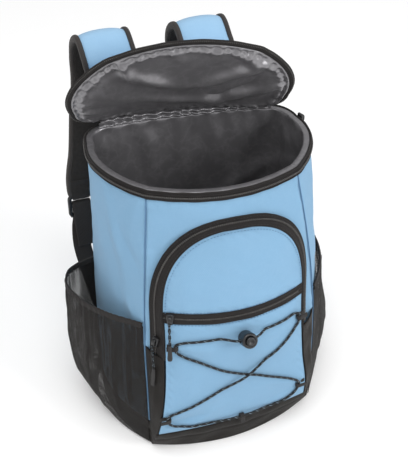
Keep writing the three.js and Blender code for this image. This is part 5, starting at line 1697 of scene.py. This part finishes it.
def buildSlider(name, place, node):
    # A zip slider: a tapered plate and a bridge over it.
    origin, axes = place
    w, l, t = slider["wide"] / 2, slider["long"] / 2, slider["wall"] / 2
    plate = [(-l, w * 0.55, t * 0.6, 0), (-l + 0.7, w * 0.72, t * 0.95, 0), (-l * 0.4, w * 0.78, t, 0),
             (l * 0.2, w * 0.97, t, 0),
             (l * 0.75, w, t, 0), (l - 0.5, w * 0.92, t * 0.95, 0), (l, w * 0.75, t * 0.6, 0)]
    bridge = [(-l * 0.72, 1.6, 0.9, t), (-l * 0.66, 2.2, 1.3, t + 0.7), (-l * 0.4, 2.3, 1.2, t + 2.0),
              (l * 0.4, 2.3, 1.2, t + 2.0),
              (l * 0.66, 2.2, 1.3, t + 0.7), (l * 0.72, 1.6, 0.9, t)]
    pieces = [addGrid("slider_part", placed(slab(rows), origin, axes), plasticLook, around=True,
                      capped=True)
              for rows in (plate, bridge)]
    return joinPieces(name, pieces, [node])


def braidedLink(name, top, low, node):
    # A cord doubled through the slider and the pull, its two strands twisted round each other.
    along = np.linspace(0, 1, 90)[:, None]
    way = low - top
    side = unit(np.cross(way, (0, 0, 1.0)))
    over = unit(np.cross(side, way))
    pieces = []
    for start in (0, pi):
        turn = start + along * np.linalg.norm(way) / 2.6
        swing = 0.95 * (side * np.cos(turn) + over * np.sin(turn))
        line = top + way * along + swing
        pieces.append(addGrid("link_part", carried(line, (1.0, 0.2, 0.1), ringProfile(0.9, 0.9, 8)),
                              ("braidedElastic", "elastic"),
                              around=True, capped=True))
    return joinPieces(name, pieces, [node])


def gussetOuter(across, along):
    # A place on the left gusset: across from seam to edge, and along up it.
    low = body["bootHeight"] + 0.4
    height = low + (pocket["gussetTop"] - low) * along
    point, out = gussetSurface(-1, across, height)
    return np.stack([point[..., 0], -point[..., 1], height + 0 * across], -1)


def buildPulls():
    # Three sliders, two pulls, and the doubled cords that join them.
    seat = slider["wall"] / 2 + 0.4
    aside = (0.2, 0.01)
    archSeat = seatOn(archPlace, 0.55, 0.045, aside, (0, -1, 0), seat + 0.4)
    archEnd = seatOn(gussetOuter, 0.55, 0.74, (0.2, 0.05), (0, -1, 0), slider["pullWall"] / 2 + 3.4)
    midSeat = onFace(-81, pocket["midHeight"], seat + 1.2)
    over = lacing["stand"] + lacing["tabWall"] + slider["pullWall"] + 6.5
    midEnd = onFace(-84, 178, over)
    buildSlider("arch_slider_body", archSeat, "arch_slider")
    buildSlider("mid_slider_body", midSeat, "mid_slider")
    w, l, t = slider["pullWide"] / 2, slider["pullLong"] / 2, slider["pullWall"] / 2
    ribs = [(-l + 1.6 + i * 2.3, w * (0.98 if i % 2 else 0.9), t * (1.12 if i % 2 else 0.85),
             0) for i in range(8)]
    flat = [(-l, w * 0.6, t * 0.5, 0), (-l + 0.7, w * 0.92, t * 0.95, 0)] + ribs
    flat += [(l * 0.45, w * 0.86, t, 0), (l - 1.2, w * 0.62, t, 0), (l - 0.2, w * 0.5, t * 0.8, 0),
             (l, w * 0.3, t * 0.4, 0)]
    rubber = ("mattRubber", "black_rubber")
    addGrid("arch_pull_tag", placed(slab(flat), *archEnd), rubber, ["arch_pull"], around=True, capped=True)
    half = slider["pullLong"] * 0.375
    bar = [(-half, 1.9, 1.9, 0), (-half + 0.6, 2.7, 2.7, 0), (-half + 3, 3.1, 3.1, 0),
           (-half * 0.2, 2.7, 2.7, 0),
           (half * 0.5, 2.2, 2.2, 0), (half - 1, 1.9, 1.9, 0), (half, 1.3, 1.3, 0)]
    addGrid("mid_pull_end", placed(slab(bar, 24, 2.2), *midEnd), rubber, ["mid_pull"], around=True,
            capped=True)
    for name, (origin, axes), (endOrigin, endAxes), length in (
        ("arch", archSeat, archEnd, slider["pullLong"]),
        ("mid", midSeat, midEnd, slider["pullLong"] * 0.75),
    ):
        top = origin + axes[1] * (1 - slider["long"] * 0.35) + axes[2] * (slider["wall"] * 0.5 + 3.4)
        low = endOrigin + endAxes[1] * (length / 2 - 1)
        braidedLink(f"{name}_link_cord", top, low, f"{name}_pull_link")

    def rimOuter(along, height):
        # A place on the body's side, by its share from back to front and its height.
        half, depth = sidePoint(bodySection(height), along)
        return np.stack([half, -depth + settle(half, depth, height), height + 0 * half], -1)

    rimSeat = seatOn(rimOuter, 0.03, body["height"] - 3, (0.03, 3), (1, 0, 0), 0.4 + 2 + seat + 0.9)
    buildSlider("rim_slider_body", rimSeat, "rim_slider")


buildPulls()
print("sliders and pulls")
